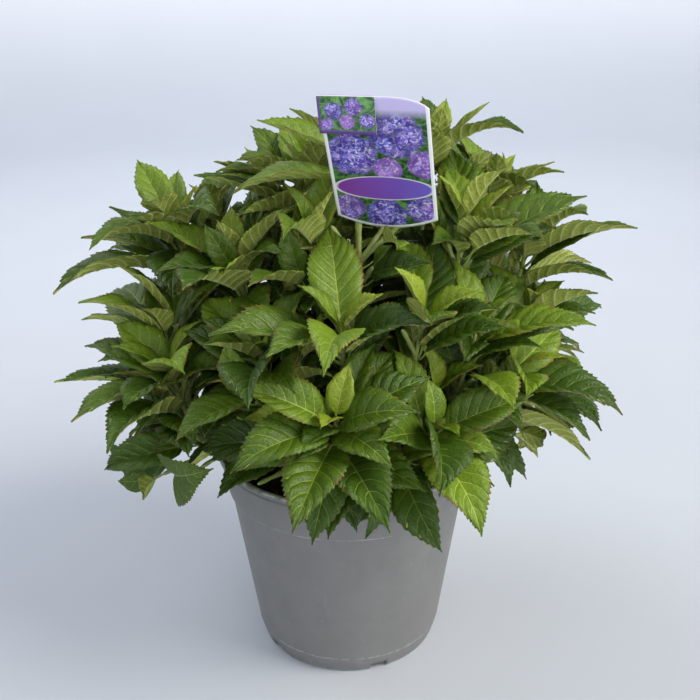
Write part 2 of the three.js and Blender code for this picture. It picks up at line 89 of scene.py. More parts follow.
def linear(hex_colour):
    """The linear colour of an sRGB hex value: each part is divided by 12.92 near black and raised to 2.4 above."""
    parts = np.array([int(hex_colour[i:i + 2], 16) / 255 for i in (0, 2, 4)])
    return (*np.where(parts <= 0.04045, parts / 12.92, ((parts + 0.055) / 1.055) ** 2.4), 1.0)


def node(tree, kind, inputs=(), **settings):
    """Adds a shader node, sets its properties, and sets or links each of its inputs. A node given for an input is
    linked from the first of its outputs that is in use."""
    made = tree.nodes.new("ShaderNode" + kind)
    for name, value in settings.items():
        setattr(made, name, value)
    for socket, value in dict(inputs).items():
        if isinstance(value, bpy.types.Node):
            value = next(output for output in value.outputs if output.enabled)
        if isinstance(value, bpy.types.NodeSocket):
            tree.links.new(value, made.inputs[socket])
        else:
            made.inputs[socket].default_value = value
    return made


def new_material(name):
    """An empty node material and its tree."""
    material = bpy.data.materials.new(name)
    material.use_nodes = True
    material.node_tree.nodes.clear()
    return material, material.node_tree


def grid_quads(rows, columns):
    """The four-cornered faces of a grid whose points are numbered row by row."""
    corner = (np.arange(rows - 1)[:, None] * columns + np.arange(columns - 1)).ravel()
    return np.stack([corner, corner + 1, corner + columns + 1, corner + columns], 1)


def add_piece(name, points, quads, materials, material_index=None):
    """A smooth mesh object that rides on the plant, from points in millimetres and four-cornered faces."""
    mesh = bpy.data.meshes.new(name)
    mesh.vertices.add(len(points))
    mesh.vertices.foreach_set("co", (np.asarray(points) * 0.001).astype(np.float32).ravel())
    mesh.loops.add(quads.size)
    mesh.loops.foreach_set("vertex_index", quads.astype(np.int32).ravel())
    mesh.polygons.add(len(quads))
    mesh.polygons.foreach_set("loop_start", np.arange(0, quads.size, 4, dtype=np.int32))
    for material in materials:
        mesh.materials.append(material)
    if material_index is not None:
        mesh.polygons.foreach_set("material_index", material_index.astype(np.int32))
    mesh.polygons.foreach_set("use_smooth", np.ones(len(quads), bool))
    mesh.update(calc_edges=True)
    piece = bpy.data.objects.new(name, mesh)
    bpy.context.scene.collection.objects.link(piece)
    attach(piece, "root")
    return piece


def set_map(piece, name, coordinates):
    """A UV map from two coordinates a point."""
    layer = piece.data.uv_layers.new(name=name)
    corner = np.zeros(len(piece.data.loops), np.int32)
    piece.data.loops.foreach_get("vertex_index", corner)
    layer.data.foreach_set("uv", coordinates[corner].astype(np.float32).ravel())


def weld(piece, distance=1e-5):
    """Merges points that coincide, as at a lathe's axis and seam, and turns the faces outwards."""
    body = bmesh.new()
    body.from_mesh(piece.data)
    bmesh.ops.remove_doubles(body, verts=body.verts, dist=distance)
    bmesh.ops.dissolve_degenerate(body, edges=body.edges, dist=distance)
    bmesh.ops.recalc_face_normals(body, faces=body.faces)
    body.to_mesh(piece.data)
    body.free()
    return piece


def rounded(profile, radius, steps=4):
    """A profile whose corners are rounded: each is replaced by a quadratic arc between points set back along its
    two sides by radius, or by less where a side is short."""
    points = np.array(profile, float)
    result = [points[:1]]
    for before, corner, after in zip(points[:-2], points[1:-1], points[2:]):
        back, ahead = before - corner, after - corner
        reach = np.minimum(radius, 0.45 * np.hypot(*np.stack([back, ahead], 1)))
        start = corner + back / np.hypot(*back) * reach[0]
        end = corner + ahead / np.hypot(*ahead) * reach[1]
        t = np.linspace(0, 1, steps)[:, None]
        result.append((1 - t) ** 2 * start + 2 * t * (1 - t) * corner + t ** 2 * end)
    result.append(points[-1:])
    return np.concatenate(result)


def pot_inner_radius(z):
    """The pot's inner radius: the wall's or the band's outer radius at that height, less the wall."""
    band_top = POT_HEIGHT - LIP_HEIGHT
    band = BAND_FOOT_R - POT_WALL + (BAND_TOP_R - BAND_FOOT_R) * (z - BAND_FOOT_Z) / (band_top - BAND_FOOT_Z)
    wall_top = BAND_FOOT_R - BAND_STEP - POT_WALL
    wall = wall_top - (BAND_FOOT_R - BAND_STEP - SHOULDER_R) * (BAND_FOOT_Z - z) / (BAND_FOOT_Z - SHOULDER_Z)
    return band if z > BAND_FOOT_Z else wall


def pot_profile():
    """Radius and height round the pot's wall, from the axis under the floor, up outside and down inside."""
    lip_foot = POT_HEIGHT - LIP_HEIGHT
    band_slope = (BAND_TOP_R - BAND_FOOT_R) / (lip_foot - BAND_FOOT_Z)
    floor_top = FOOT_RECESS + POT_FLOOR
    wall_top = BAND_FOOT_R - BAND_STEP
    wall_slope = (wall_top - SHOULDER_R) / (BAND_FOOT_Z - SHOULDER_Z)
    groove_r = BAND_FOOT_R + band_slope * (lip_foot - BAND_FOOT_Z) - LIP_GROOVE
    outside = [
        (0, FOOT_RECESS), (FOOT_R - FOOT_RING - 4, FOOT_RECESS), (FOOT_R - FOOT_RING, 0), (FOOT_R, 0),
        (FOOT_R + 1.6, 2), (SHOULDER_R - 1, SHOULDER_Z - 5), (SHOULDER_R - 0.4, SHOULDER_Z - 0.6),
        (SHOULDER_R + 0.5, SHOULDER_Z + 0.2), (SHOULDER_R + 0.3 + 3 * wall_slope, SHOULDER_Z + 3),
        (wall_top, BAND_FOOT_Z - 0.3), (BAND_FOOT_R - 0.3, BAND_FOOT_Z), (BAND_FOOT_R, BAND_FOOT_Z + 1.2),
        (BAND_FOOT_R + band_slope * (lip_foot - 3 - BAND_FOOT_Z), lip_foot - 3),
        (groove_r, lip_foot - 1.6), (groove_r, lip_foot), (LIP_R - 0.2, lip_foot + 0.5), (LIP_R, lip_foot + 2.5),
        (LIP_R - 1.2, POT_HEIGHT), (LIP_R - 4.2, POT_HEIGHT),
    ]
    inside = [
        (LIP_R - 5.2, lip_foot + 2), (pot_inner_radius(lip_foot), lip_foot),
        (pot_inner_radius(BAND_FOOT_Z + 2), BAND_FOOT_Z + 2), (pot_inner_radius(BAND_FOOT_Z - 4), BAND_FOOT_Z - 4),
        (pot_inner_radius(SHOULDER_Z), SHOULDER_Z), (pot_inner_radius(floor_top), floor_top), (0, floor_top),
    ]
    return rounded(outside + inside, CORNER_R)


def lathe(profile, bearings):
    """The points of a profile turned round the axis: radius times cosine and sine of each bearing, and height."""
    turn = np.radians(bearings)[:, None]
    radius, height = profile[:, 0], profile[:, 1]
    return np.stack([radius * np.cos(turn), radius * np.sin(turn), height + 0 * turn], 2)


def add_lathe(name, points, material):
    """A lathe's points as a piece, closed at its seam and axis."""
    return weld(add_piece(name, points.reshape(-1, 3), grid_quads(*points.shape[:2]), [material]))


def make_pot():
    """The lathe of the pot's profile, whose lowest points are lifted to the notches' height at their bearings."""
    notch_half = np.degrees(0.5 * NOTCH_WIDTH / FOOT_R)
    middles = NOTCH_FIRST + np.arange(NOTCHES) * 360 / NOTCHES
    edges = (middles[:, None] + notch_half * np.array([-1 - NOTCH_SIDE, -1, 1, 1 + NOTCH_SIDE])).ravel() % 360
    bearings = np.unique(np.concatenate([np.arange(0, 360, 2.5), edges]))
    bearings = np.append(bearings, bearings[0] + 360)
    points = lathe(pot_profile(), bearings)
    apart = np.abs((bearings[:, None] - middles + 180) % 360 - 180).min(1)
    outer = np.hypot(points[..., 0], points[..., 1]) > FOOT_R - FOOT_RING - 5
    cut = (apart < 1.02 * notch_half)[:, None] & outer & (points[..., 2] < NOTCH_HEIGHT)
    points[..., 2] = np.where(cut, NOTCH_HEIGHT, points[..., 2])
    return points


def moulded_plastic():
    """Satin recycled polypropylene: an even grey with faint mottling and pale specks, rubbed in streaks and scuffed
    along its edges, with the fine orange-peel of a steel mould about a millimetre from crest to crest."""
    material, tree = new_material("polypropylene_moulded_satin")
    place = node(tree, "TexCoord").outputs["Object"]
    height = node(tree, "SeparateXYZ", {0: place}).outputs["Z"]
    mottle = node(tree, "TexNoise", {"Vector": place, "Scale": 34, "Detail": 6, "Roughness": 0.62})
    edges = 0
    for edge, reach in SCUFFED_EDGES:
        away = node(tree, "Math", {0: height, 1: edge / 1000}, operation="SUBTRACT")
        away = node(tree, "Math", {0: away}, operation="ABSOLUTE")
        near = node(tree, "MapRange", {"Value": away, "From Max": reach / 1000, "To Min": 1, "To Max": 0})
        edges = node(tree, "Math", {0: near, 1: edges}, operation="MAXIMUM")
    chafe = node(tree, "TexNoise", {"Vector": place, "Scale": 120, "Detail": 8, "Roughness": 0.7})
    worn = node(tree, "MapRange", {"Value": chafe, "From Min": 0.44, "From Max": 0.6})
    worn = node(tree, "Math", {0: edges, 1: worn}, operation="MULTIPLY")
    stretched = node(tree, "Mapping", {"Vector": place, "Scale": (1, 1, 0.16)})
    rub = node(tree, "TexNoise", {"Vector": stretched, "Scale": 46, "Detail": 7, "Roughness": 0.6})
    rubbed = node(tree, "MapRange", {"Value": rub, "From Min": 0.6, "From Max": 0.86, "To Max": 0.2})
    grit = node(tree, "TexNoise", {"Vector": place, "Scale": 420, "Detail": 2})
    specks = node(tree, "MapRange", {"Value": grit, "From Min": 0.73, "From Max": 0.77, "To Max": 0.55})
    pale = node(tree, "Math", {0: worn, 1: rubbed}, operation="MAXIMUM")
    pale = node(tree, "Math", {0: pale, 1: specks}, operation="MAXIMUM")
    shade = node(tree, "Mix", {0: mottle, 6: linear(DARK_PLASTIC), 7: linear(GREY_PLASTIC)}, data_type="RGBA")
    gloss = node(tree, "MapRange", {"Value": rub, "To Min": 0.4, "To Max": 0.58})
    peel = node(tree, "TexNoise", {"Vector": place, "Scale": 900, "Detail": 2})
    relief = node(tree, "Bump", {"Height": peel, "Strength": 0.12, "Distance": 0.0004})
    colour = node(tree, "Mix", {0: pale, 6: shade, 7: linear(SCUFFED_PLASTIC)}, data_type="RGBA")
    surface = node(tree, "BsdfPrincipled", {"Base Color": colour, "Roughness": gloss, "IOR": 1.49,
                                            "Normal": relief})
    node(tree, "OutputMaterial", {"Surface": surface})
    return material


pot = add_lathe("nursery_pot", make_pot(), moulded_plastic())
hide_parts("pot")

# The potting mix is milled peat and composted bark: a near-black bed, lumpy and a little lower at the wall, with
# loose crumbs and slivers of bark on top.

MIX_TOP = 180
MIX_FALL = 3
MIX_FLAT_R = 30
MIX_FOOT_Z = 8.4
MIX_LUMP = 1.3
BED_RINGS = 44
GAP = 0.3
CRUMBS = 420
CRUMB_RINGS = 5
CRUMB_SIDES = 6
CRUMB_SIZE = (1.0, 2.6)
CRUMB_REACH = 103


def ripples(points, wavelength, waves=14, seed=1):
    """Smooth lumps from about -1 to 1: the mean of sine waves that run in seeded directions with seeded phases."""
    random = np.random.default_rng(seed)
    direction = random.normal(size=(waves, 3))
    direction /= np.linalg.norm(direction, axis=1, keepdims=True)
    pace = 2 * np.pi / wavelength * random.uniform(0.6, 1.6, waves)
    phase = random.uniform(0, 2 * np.pi, waves)
    return 1.6 * np.sin(points @ (direction * pace[:, None]).T + phase).mean(-1)


def make_mix():
    """A lathe from the axis out over the bed, down inside the pot's wall and back under, its bed raised and sunk
    by ripples of two sizes."""
    edge = MIX_TOP - MIX_FALL
    bed_r = np.linspace(1, pot_inner_radius(edge) - GAP, BED_RINGS)
    fall = np.clip((bed_r - MIX_FLAT_R) / (bed_r[-1] - MIX_FLAT_R), 0, 1)
    bed = np.stack([bed_r, MIX_TOP - MIX_LUMP - MIX_FALL * fall ** 1.3], 1)
    wall_z = np.array([BAND_FOOT_Z, SHOULDER_Z, MIX_FOOT_Z])
    wall = np.stack([[pot_inner_radius(z) - GAP for z in wall_z], wall_z], 1)
    points = lathe(np.concatenate([[[0, bed[0, 1]]], bed, wall, [[0, MIX_FOOT_Z]]]), np.arange(0, 361, 3))
    lump = MIX_LUMP * (0.6 * ripples(points, 17, seed=3) + 0.4 * ripples(points, 6, seed=4))
    on_bed = (points[..., 2] > edge - 2 * MIX_LUMP) & (np.arange(points.shape[1]) < BED_RINGS)
    points[..., 2] += np.where(on_bed, lump, 0)
    return points


def make_crumbs():
    """Each crumb is a ball of rings, drawn out and flattened by seeded factors, dented and turned to a seeded
    angle. Crumbs lie on the bed, spread evenly over it."""
    random = np.random.default_rng(11)
    turn, tilt = np.meshgrid(np.arange(CRUMB_SIDES) * 2 * np.pi / CRUMB_SIDES, np.radians([-88, -40, 10, 50, 88]))
    ball = np.stack([np.cos(tilt) * np.cos(turn), np.cos(tilt) * np.sin(turn), np.sin(tilt)], -1).reshape(-1, 3)
    size = random.uniform(*CRUMB_SIZE, (CRUMBS, 1, 1)) * random.uniform(
        [0.9, 0.5, 0.3], [2.2, 1.1, 0.7], (CRUMBS, 1, 3))
    dented = ball * (1 + 0.22 * random.normal(size=(CRUMBS, len(ball), 1))) * size
    bearing, roll = random.uniform(0, 2 * np.pi, (2, CRUMBS, 1))
    roll = 0.35 * np.sin(roll)
    x, y, z = np.moveaxis(dented, 2, 0)
    y, z = y * np.cos(roll) - z * np.sin(roll), y * np.sin(roll) + z * np.cos(roll)
    x, y = x * np.cos(bearing) - y * np.sin(bearing), x * np.sin(bearing) + y * np.cos(bearing)
    place_r = CRUMB_REACH * np.sqrt(random.uniform(0.04, 1, CRUMBS))
    place_turn = random.uniform(0, 2 * np.pi, CRUMBS)
    fall = np.clip((place_r - MIX_FLAT_R) / 75, 0, 1) ** 1.3
    middle = np.stack([place_r * np.cos(place_turn), place_r * np.sin(place_turn),
                       MIX_TOP - 1.1 - MIX_FALL * fall], 1)
    return np.stack([x, y, z], 2) + middle[:, None]


def ring_quads(rings, sides):
    """The faces of rings of points joined into a tube whose two ends are closed by strips across them."""
    j = np.arange(sides)
    belt = np.stack([j, (j + 1) % sides, (j + 1) % sides + sides, j + sides], 1)
    wall = (belt + sides * np.arange(rings - 1)[:, None, None]).reshape(-1, 4)
    k = np.arange(sides // 2 - 1)
    cap = np.stack([k, k + 1, sides - 2 - k, sides - 1 - k], 1)
    return np.concatenate([wall, cap[:, ::-1], cap + (rings - 1) * sides])


def repeated(quads, count, points_each):
    """The same faces for count shapes whose points follow each other."""
    return (quads + points_each * np.arange(count)[:, None, None]).reshape(-1, 4)


def potting_mix(name, dark, brown, fleck):
    """Damp peat and bark: almost black, with brown grains of one to three millimetres that catch the light."""
    material, tree = new_material(name)
    place = node(tree, "TexCoord").outputs["Object"]
    grain = node(tree, "TexNoise", {"Vector": place, "Scale": 260, "Detail": 9, "Roughness": 0.72})
    lump = node(tree, "TexVoronoi", {"Vector": place, "Scale": 380})
    brown_part = node(tree, "MapRange", {"Value": grain, "From Min": 0.42, "From Max": 0.7})
    spark = node(tree, "TexNoise", {"Vector": place, "Scale": 620, "Detail": 3})
    flecks = node(tree, "MapRange", {"Value": spark, "From Min": 0.64, "From Max": 0.7})
    soil = node(tree, "Mix", {0: brown_part, 6: linear(dark), 7: linear(brown)}, data_type="RGBA")
    height = node(tree, "Math", {0: grain, 1: lump.outputs["Distance"]}, operation="SUBTRACT")
    relief = node(tree, "Bump", {"Height": height, "Strength": 0.8, "Distance": 0.0016})
    colour = node(tree, "Mix", {0: flecks, 6: soil, 7: linear(fleck)}, data_type="RGBA")
    surface = node(tree, "BsdfPrincipled", {"Base Color": colour, "Roughness": 0.93, "Specular IOR Level": 0.25,
                                            "Normal": relief})
    node(tree, "OutputMaterial", {"Surface": surface})
    return material


bed = add_lathe("potting_mix_bed", make_mix(), potting_mix("peat_and_bark_damp", "1b1512", "3c2c20", "6a5440"))
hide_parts("potting_mix")
crumbs = add_piece("potting_mix_crumbs", make_crumbs().reshape(-1, 3),
                   repeated(ring_quads(CRUMB_RINGS, CRUMB_SIDES), CRUMBS, CRUMB_RINGS * CRUMB_SIDES),
                   [potting_mix("bark_crumbs_dry", "2a1f18", "54402e", "8a7358")])

# The stems are woody from the potting mix up and green where they grew this year. A short gnarled stump carries
# 27 canes. Each runs out and then up, thickens a little at every pair of nodes, and ends in a leading twig.

CROWN_FOOT_R = 22
CROWN_R = 17
CROWN_TIER = 9.5
CROWN_TIERS = 5
CANE_FOOT_R = 4
CANE_TIP_R = 2.9
CANE_ABOVE_POT = 6
CANE_ROOM = 28
CANE_INSIDE = 5
CANE_LEVEL = 10
NODE_SPACING = 34
TWIG_TIP_R = 1.7
# A twig's pairs of leaves from its tip down: distance below the tip, size, rise and droop.
PAIR_DROP = [0, 10, 30, 62, 98]
PAIR_SIZE = [0.4, 0.7, 0.96, 0.96, 0.88]
PAIR_RISE = [62, 48, 34, 22, 4]
PAIR_DROOP = [14, 24, 28, 30, 32]
LOW_CANE = 310
TWIG_BELOW = 12
NODE_SWELL = 0.3
NODE_HALF = 3.2
CANE_RINGS = 64
FOOT_FLARE = 0.35
FLARE_RUN = 7
SKIN_WANDER = 0.03
LENTICEL = "b9ad86"

# One row a cane: where its leading twig's tip stands (bearing in degrees, reach and height), how far that leans out,
# how its topmost pair is turned, and the length of its largest leaves. The order is the CAD source's.
CANES = {
    "front_low": (-93, 150, 282, 40, -10, 98),
    "front_centre": (-91, 116, 338, 20, 90, 116),
    "front_right": (-64, 148, 266, 42, 4, 98),
    "centre_right": (-60, 116, 336, 18, 58, 114),
    "centre_left": (-122, 120, 314, 20, 70, 90),
    "left_low": (-157, 154, 284, 18, 0, 112),
    "left": (-168, 150, 302, 10, 90, 124),
    "left_back": (171, 142, 376, 14, 0, 92),
    "left_high": (-158, 92, 366, 10, 60, 106),
    "left_top": (156, 124, 380, 16, 20, 88),
    "top_left": (146, 80, 404, 12, 0, 90),
    "top": (160, 34, 424, 6, 40, 88),
    "top_front": (-112, 62, 392, 8, 96, 104),
    "top_label": (-78, 58, 466, 3, 84, 72),
    "top_right": (24, 84, 446, 10, 60, 92),
    "right_high": (-24, 104, 388, 16, 34, 120),
    "right_high_back": (30, 154, 396, 20, 30, 96),
    "right_back": (10, 160, 360, 14, 0, 118),
    "right": (-2, 156, 306, 16, 45, 94),
    "right_low": (-26, 146, 280, 34, 8, 106),
    "right_front": (-40, 132, 326, 16, 60, 86),
    "back_left_low": (142, 152, 286, 32, 20, 108),
    "back_left": (116, 132, 356, 22, 80, 104),
    "back_low": (96, 144, 284, 32, 10, 106),
    "back_high": (84, 84, 414, 14, 10, 102),
    "back_right": (66, 132, 350, 22, 70, 104),
    "back_right_low": (50, 154, 282, 32, 20, 108),
}


def around(bearing, distance, z):
    """A point at a bearing and a distance from the pot's axis."""
    turn = np.radians(bearing)
    return np.array([distance * np.cos(turn), distance * np.sin(turn), z])


def leading_twig(bearing, reach, height, lean, turn, leaf):
    """The twig that ends a cane: the frame across it (out and side), its axis, its tip and its root."""
    tilt = np.radians(lean)
    out, side = around(bearing, np.cos(tilt), -np.sin(tilt)), around(bearing + 90, 1, 0)
    axis, tip = np.cross(out, side), around(bearing, reach, height)
    pairs = len(PAIR_DROP) - (height < LOW_CANE)
    root = tip - axis * (PAIR_DROP[pairs - 1] + TWIG_BELOW)
    return dict(axis=axis, out=out, side=side, tip=tip, pairs=pairs, lean=lean, root=root, turn=turn, leaf=leaf,
                scale=1, bearing=bearing, reach=reach)


def cane_tiers(twigs):
    """The lowest tier of the crown where no other cane stands too near, the canes that lean out most first."""
    tiers = [[] for _ in range(CROWN_TIERS)]
    for name in sorted(twigs, key=lambda each: (CANES[each][2] - MIX_TOP) / CANES[each][1]):
        bearing = CANES[name][0]
        tier = next(i for i, others in enumerate(tiers)
                    if all(abs((bearing - other + 180) % 360 - 180) >= CANE_ROOM for other in others))
        twigs[name]["tier"] = tier
        tiers[tier].append(bearing)


def cane_curve(twig, t):
    """Points of the cubic curve from the crown to the twig's root: it leaves level and arrives along the twig."""
    outward = around(twig["bearing"], 1, 0)
    foot = around(twig["bearing"], CROWN_R + GAP, MIX_TOP + GAP + CROWN_TIER * (twig["tier"] + 0.9))
    end = twig["root"] - GAP * twig["axis"]
    back = min(0.4 * np.linalg.norm(end - foot), (end[2] - POT_HEIGHT - CANE_ABOVE_POT) / twig["axis"][2])
    handles = foot + outward * (CANE_LEVEL + 0.16 * twig["reach"]), end - twig["axis"] * back
    t = np.asarray(t, float)[:, None]
    return (1 - t) ** 3 * foot + 3 * t * (1 - t) ** 2 * handles[0] + 3 * t ** 2 * (1 - t) * handles[1] + t ** 3 * end


def tubes(paths, radii, side, sides):
    """Round tubes along paths: at each point a ring of the given radius across the path. paths is (tubes, points,
    3), radii (tubes, points) and side one direction a tube, from which its rings are turned."""
    ahead = np.gradient(paths, axis=1)
    ahead /= np.linalg.norm(ahead, axis=2, keepdims=True)
    first = np.cross(side[:, None], ahead)
    first /= np.linalg.norm(first, axis=2, keepdims=True)
    second = np.cross(ahead, first)
    turn = 2 * np.pi * np.arange(sides) / sides
    ring = first[:, :, None] * np.cos(turn)[:, None] + second[:, :, None] * np.sin(turn)[:, None]
    return paths[:, :, None] + ring * radii[:, :, None, None]


def add_tubes(name, points, materials):
    """One piece of many tubes of equally many rings."""
    count, rings, sides = points.shape[:3]
    return add_piece(name, points.reshape(-1, 3), repeated(ring_quads(rings, sides), count, rings * sides), materials)


def bark_and_skin(name, wood, young, wood_below, young_above):
    """The skin of a stem: corky grey-brown bark low down that turns to smooth green skin higher up, with pale
    lenticels and fine cracks along the bark."""
    material, tree = new_material(name)
    place = node(tree, "TexCoord").outputs["Object"]
    height = node(tree, "SeparateXYZ", {0: place}).outputs["Z"]
    patch = node(tree, "TexNoise", {"Vector": place, "Scale": 70, "Detail": 5})
    wander = node(tree, "Math", {0: patch, 1: 2 * SKIN_WANDER, 2: height}, operation="MULTIPLY_ADD")
    age = node(tree, "MapRange", {"Value": wander, "From Min": wood_below / 1000 + SKIN_WANDER,
                                  "From Max": young_above / 1000 + SKIN_WANDER})
    stretched = node(tree, "Mapping", {"Vector": place, "Scale": (1, 1, 0.22)})
    cracks = node(tree, "TexNoise", {"Vector": stretched, "Scale": 520, "Detail": 7, "Roughness": 0.7})
    spots = node(tree, "TexVoronoi", {"Vector": stretched, "Scale": 230})
    lenticel = node(tree, "MapRange", {"Value": spots, "From Min": 0.2, "From Max": 0.12, "To Max": 0.55})
    bark = node(tree, "Mix", {0: cracks, 6: linear(wood[0]), 7: linear(wood[1])}, data_type="RGBA")
    skin = node(tree, "Mix", {0: patch, 6: linear(young[0]), 7: linear(young[1])}, data_type="RGBA")
    aged = node(tree, "Mix", {0: age, 6: bark, 7: skin}, data_type="RGBA")
    colour = node(tree, "Mix", {0: lenticel, 6: aged, 7: linear(LENTICEL)}, data_type="RGBA")
    rough = node(tree, "MapRange", {"Value": age, "To Min": 0.88, "To Max": 0.45})
    deep = node(tree, "MapRange", {"Value": age, "To Min": 0.9, "To Max": 0.15})
    relief = node(tree, "Bump", {"Height": cracks, "Strength": deep, "Distance": 0.0008})
    surface = node(tree, "BsdfPrincipled", {"Base Color": colour, "Roughness": rough, "Normal": relief})
    node(tree, "OutputMaterial", {"Surface": surface})
    return material


def make_stump():
    """A lathe whose radius swells and sinks with height and bearing, in ridges that wind a little round it."""
    top = MIX_TOP + GAP + CROWN_TIER * (CROWN_TIERS + 0.6)
    height = np.linspace(MIX_TOP - 3, top - 2, 40)
    share = (height - height[0]) / (height[-1] - height[0])
    radius = CROWN_R - 1.2 + (CROWN_FOOT_R - CROWN_R) * np.exp(-share * 9)
    cap = np.array([[0.8, 0.985], [0.45, 1.0], [0, 1.005]])
    profile = np.concatenate([[[0, height[0]]], np.stack([radius, height], 1),
                              np.stack([cap[:, 0] * radius[-1], cap[:, 1] * top - 0.5], 1)])
    points = lathe(profile, np.arange(0, 361, 5))
    bearing = np.arctan2(points[..., 1], points[..., 0])
    ridge = 0.05 * np.sin(9 * bearing + points[..., 2] / 7) + 0.05 * np.sin(5 * bearing - points[..., 2] / 11)
    ridge = ridge + 0.05 * ripples(points, 12, seed=21)
    points[..., :2] *= (1 + ridge)[..., None]
    return points


def make_canes(twigs):
    """Tubes along the canes' curves from inside the stump to the twigs' roots. Each tapers evenly, bulges at every
    node by a bell curve of the distance to it, and flares at its foot."""
    paths, radii = [], []
    for twig in twigs:
        path = cane_curve(twig, np.linspace(0, 1, CANE_RINGS))
        path = np.concatenate([[path[0] - CANE_INSIDE * around(twig["bearing"], 1, 0)], path, [twig["root"]]])
        run = np.append(0, np.cumsum(np.linalg.norm(np.diff(path, axis=0), axis=1)))
        near_node = np.abs((run[-1] - run + NODE_SPACING / 2) % NODE_SPACING - NODE_SPACING / 2)
        radius = np.interp(run / run[-1], [0, 1], [CANE_FOOT_R, CANE_TIP_R])
        paths.append(path)
        radii.append(radius * (0.94 + NODE_SWELL * np.exp(-(near_node / NODE_HALF) ** 2)
                               + FOOT_FLARE * np.exp(-run / FLARE_RUN)))
    return tubes(np.array(paths), np.array(radii), np.array([twig["side"] for twig in twigs]), 12)


twigs = {name: leading_twig(*row) for name, row in CANES.items()}
cane_tiers(twigs)

stump = add_lathe("stump", make_stump(), bark_and_skin(
    "hydrangea_bark_old", ("4a3d2e", "8d7c62"), ("6d6a3c", "8b8a50"), 226, 262))
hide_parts("crown")

canes = add_tubes("canes", make_canes(twigs.values()), [bark_and_skin(
    "hydrangea_cane", ("5b4a33", "93805c"), ("7f8f45", "a3b366"), 212, 262)])
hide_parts(*("cane_" + name for name in CANES))

# The foliage: soft, thin, toothed leaves in crossed pairs, each on a round stalk. The growth follows the CAD
# source's rule, leaf by leaf and with the same random numbers, and then goes on to what is too fine for solids:
# buds, short shoots from the axils, shaded pairs lower on the canes, and leaves over the rim and in between.

# A leaf. Stalk and blade are shares of the leaf's length, radii those of a 100 mm leaf, and angles in degrees.
PETIOLE = 0.2
PETIOLE_R = 1.7
ROOT_DEPTH = 1.1
PETIOLE_RISE = 12
BLADE_WIDTH = 0.52
BLADE_THICKNESS = 0.0125
BLADE_FOLD = 17
SMALL_LEAF = 50
# A side twig, how leaves hang and reach for the light, and how clear of each other they grow.
SIDE_TWIG = 46
SIDE_LEAF = 0.72
SIDE_RISE = 48
SIDE_CHANCE = 0.26
HANG = 20
LIGHT = 0.35
CLEAR = 0.9
TRIES = 7
# The crown's dome: its widest radius, the height of that, and how far it goes above and below.
DOME_R = 250
DOME_Z = 330
DOME_ABOVE = 172
DOME_BELOW = 230
DOME_POWER = 2.2
TOP = 487
LOW = 146
# What finer leaves leave bare in front: the rim outside two bearings, the pot below a height, the label's face.
RIM_LEFT = -112
RIM_RIGHT = -62
RIM_REACH = 150
RIM_SHOWS_Z = 212
HANGS_TO_Z = 186
LABEL_X = 34
LABEL_REACH = 46
LABEL_Y = -64
LABEL_Z = 396
# How far blades fold and tips curl in degrees: middle and spread, the most, and less fold for old leaves.
FOLDS = (30, 8)
FOLD_MOST = 46
OLD_FOLD = 6
CURLS = (19, 12)
CURL_MOST = 42


def drawn_numbers(seed):
    """Park and Miller's random numbers from 0 to 1, the ones that the CAD source draws."""
    while True:
        seed = seed * 16807 % 2147483647
        yield seed / 2147483647


def either_way(random):
    """A number drawn from -1 to 1."""
    return 2 * next(random) - 1


def drawn(random, base, span):
    """A number drawn from base to base plus span."""
    return base + span * next(random)


def half_width(s):
    """Half of a blade's width at s from foot to tip, as a share of its full width: a sine arch drawn to the tip."""
    return 0.5 * np.abs(np.sin(np.pi * s ** 0.8)) ** (0.8 + 0.5 * s)


def heading(leaf, rise):
    """The direction at an angle above the plane across the leaf's twig."""
    rise = np.radians(rise)
    return leaf["out"] * np.cos(rise) + leaf["axis"] * np.sin(rise)


def small_ring(centre, direction, side, radius, sides):
    """Points of a circle round a direction: centre plus radius times cosine and sine of equal turns."""
    first = np.cross(side, direction)
    first /= np.linalg.norm(first)
    second = np.cross(direction, first)
    turn = 2 * np.pi * np.arange(sides)[:, None] / sides
    return centre + radius * (first * np.cos(turn) + second * np.sin(turn))


def leaf_rings(leaf, swell, fold=BLADE_FOLD):
    """The plain leaf of the CAD source, widened on every side by swell: two rings of its stalk, the rings of its
    folded blade, and its tip."""
    length, across = leaf["length"], np.cross(leaf["axis"], leaf["out"])
    stalk_way = heading(leaf, leaf["rise"] + PETIOLE_RISE)
    centre = leaf["node"] + stalk_way * PETIOLE * length
    stalk = [small_ring(point, stalk_way, across, PETIOLE_R * length / 100 + swell, 4)
             for point in (leaf["node"] + stalk_way * ROOT_DEPTH, centre)]
    blade, before = [], 0
    fold, tilt = np.radians(fold), np.radians(leaf["roll"])
    for s in (0, 0.4, 1) if length < SMALL_LEAF else (0, 0.26, 0.6, 1):
        centre = centre + heading(leaf, leaf["rise"] - leaf["droop"] * (s + before) / 2) * (s - before) * length
        before = s
        normal = heading(leaf, leaf["rise"] - leaf["droop"] * s + 90)
        width = BLADE_WIDTH * length * max(half_width(s), 0.03) + swell
        thick = BLADE_THICKNESS * length / 2 * (1 - 0.5 * s) + swell
        blade.append(np.array([
            centre - normal * thick,
            centre + across * width * np.cos(fold + tilt) + normal * width * np.sin(fold + tilt),
            centre + normal * thick,
            centre - across * width * np.cos(fold - tilt) + normal * width * np.sin(fold - tilt),
        ]))
    return stalk, blade, centre + heading(leaf, leaf["rise"] - leaf["droop"]) * (1 + swell)


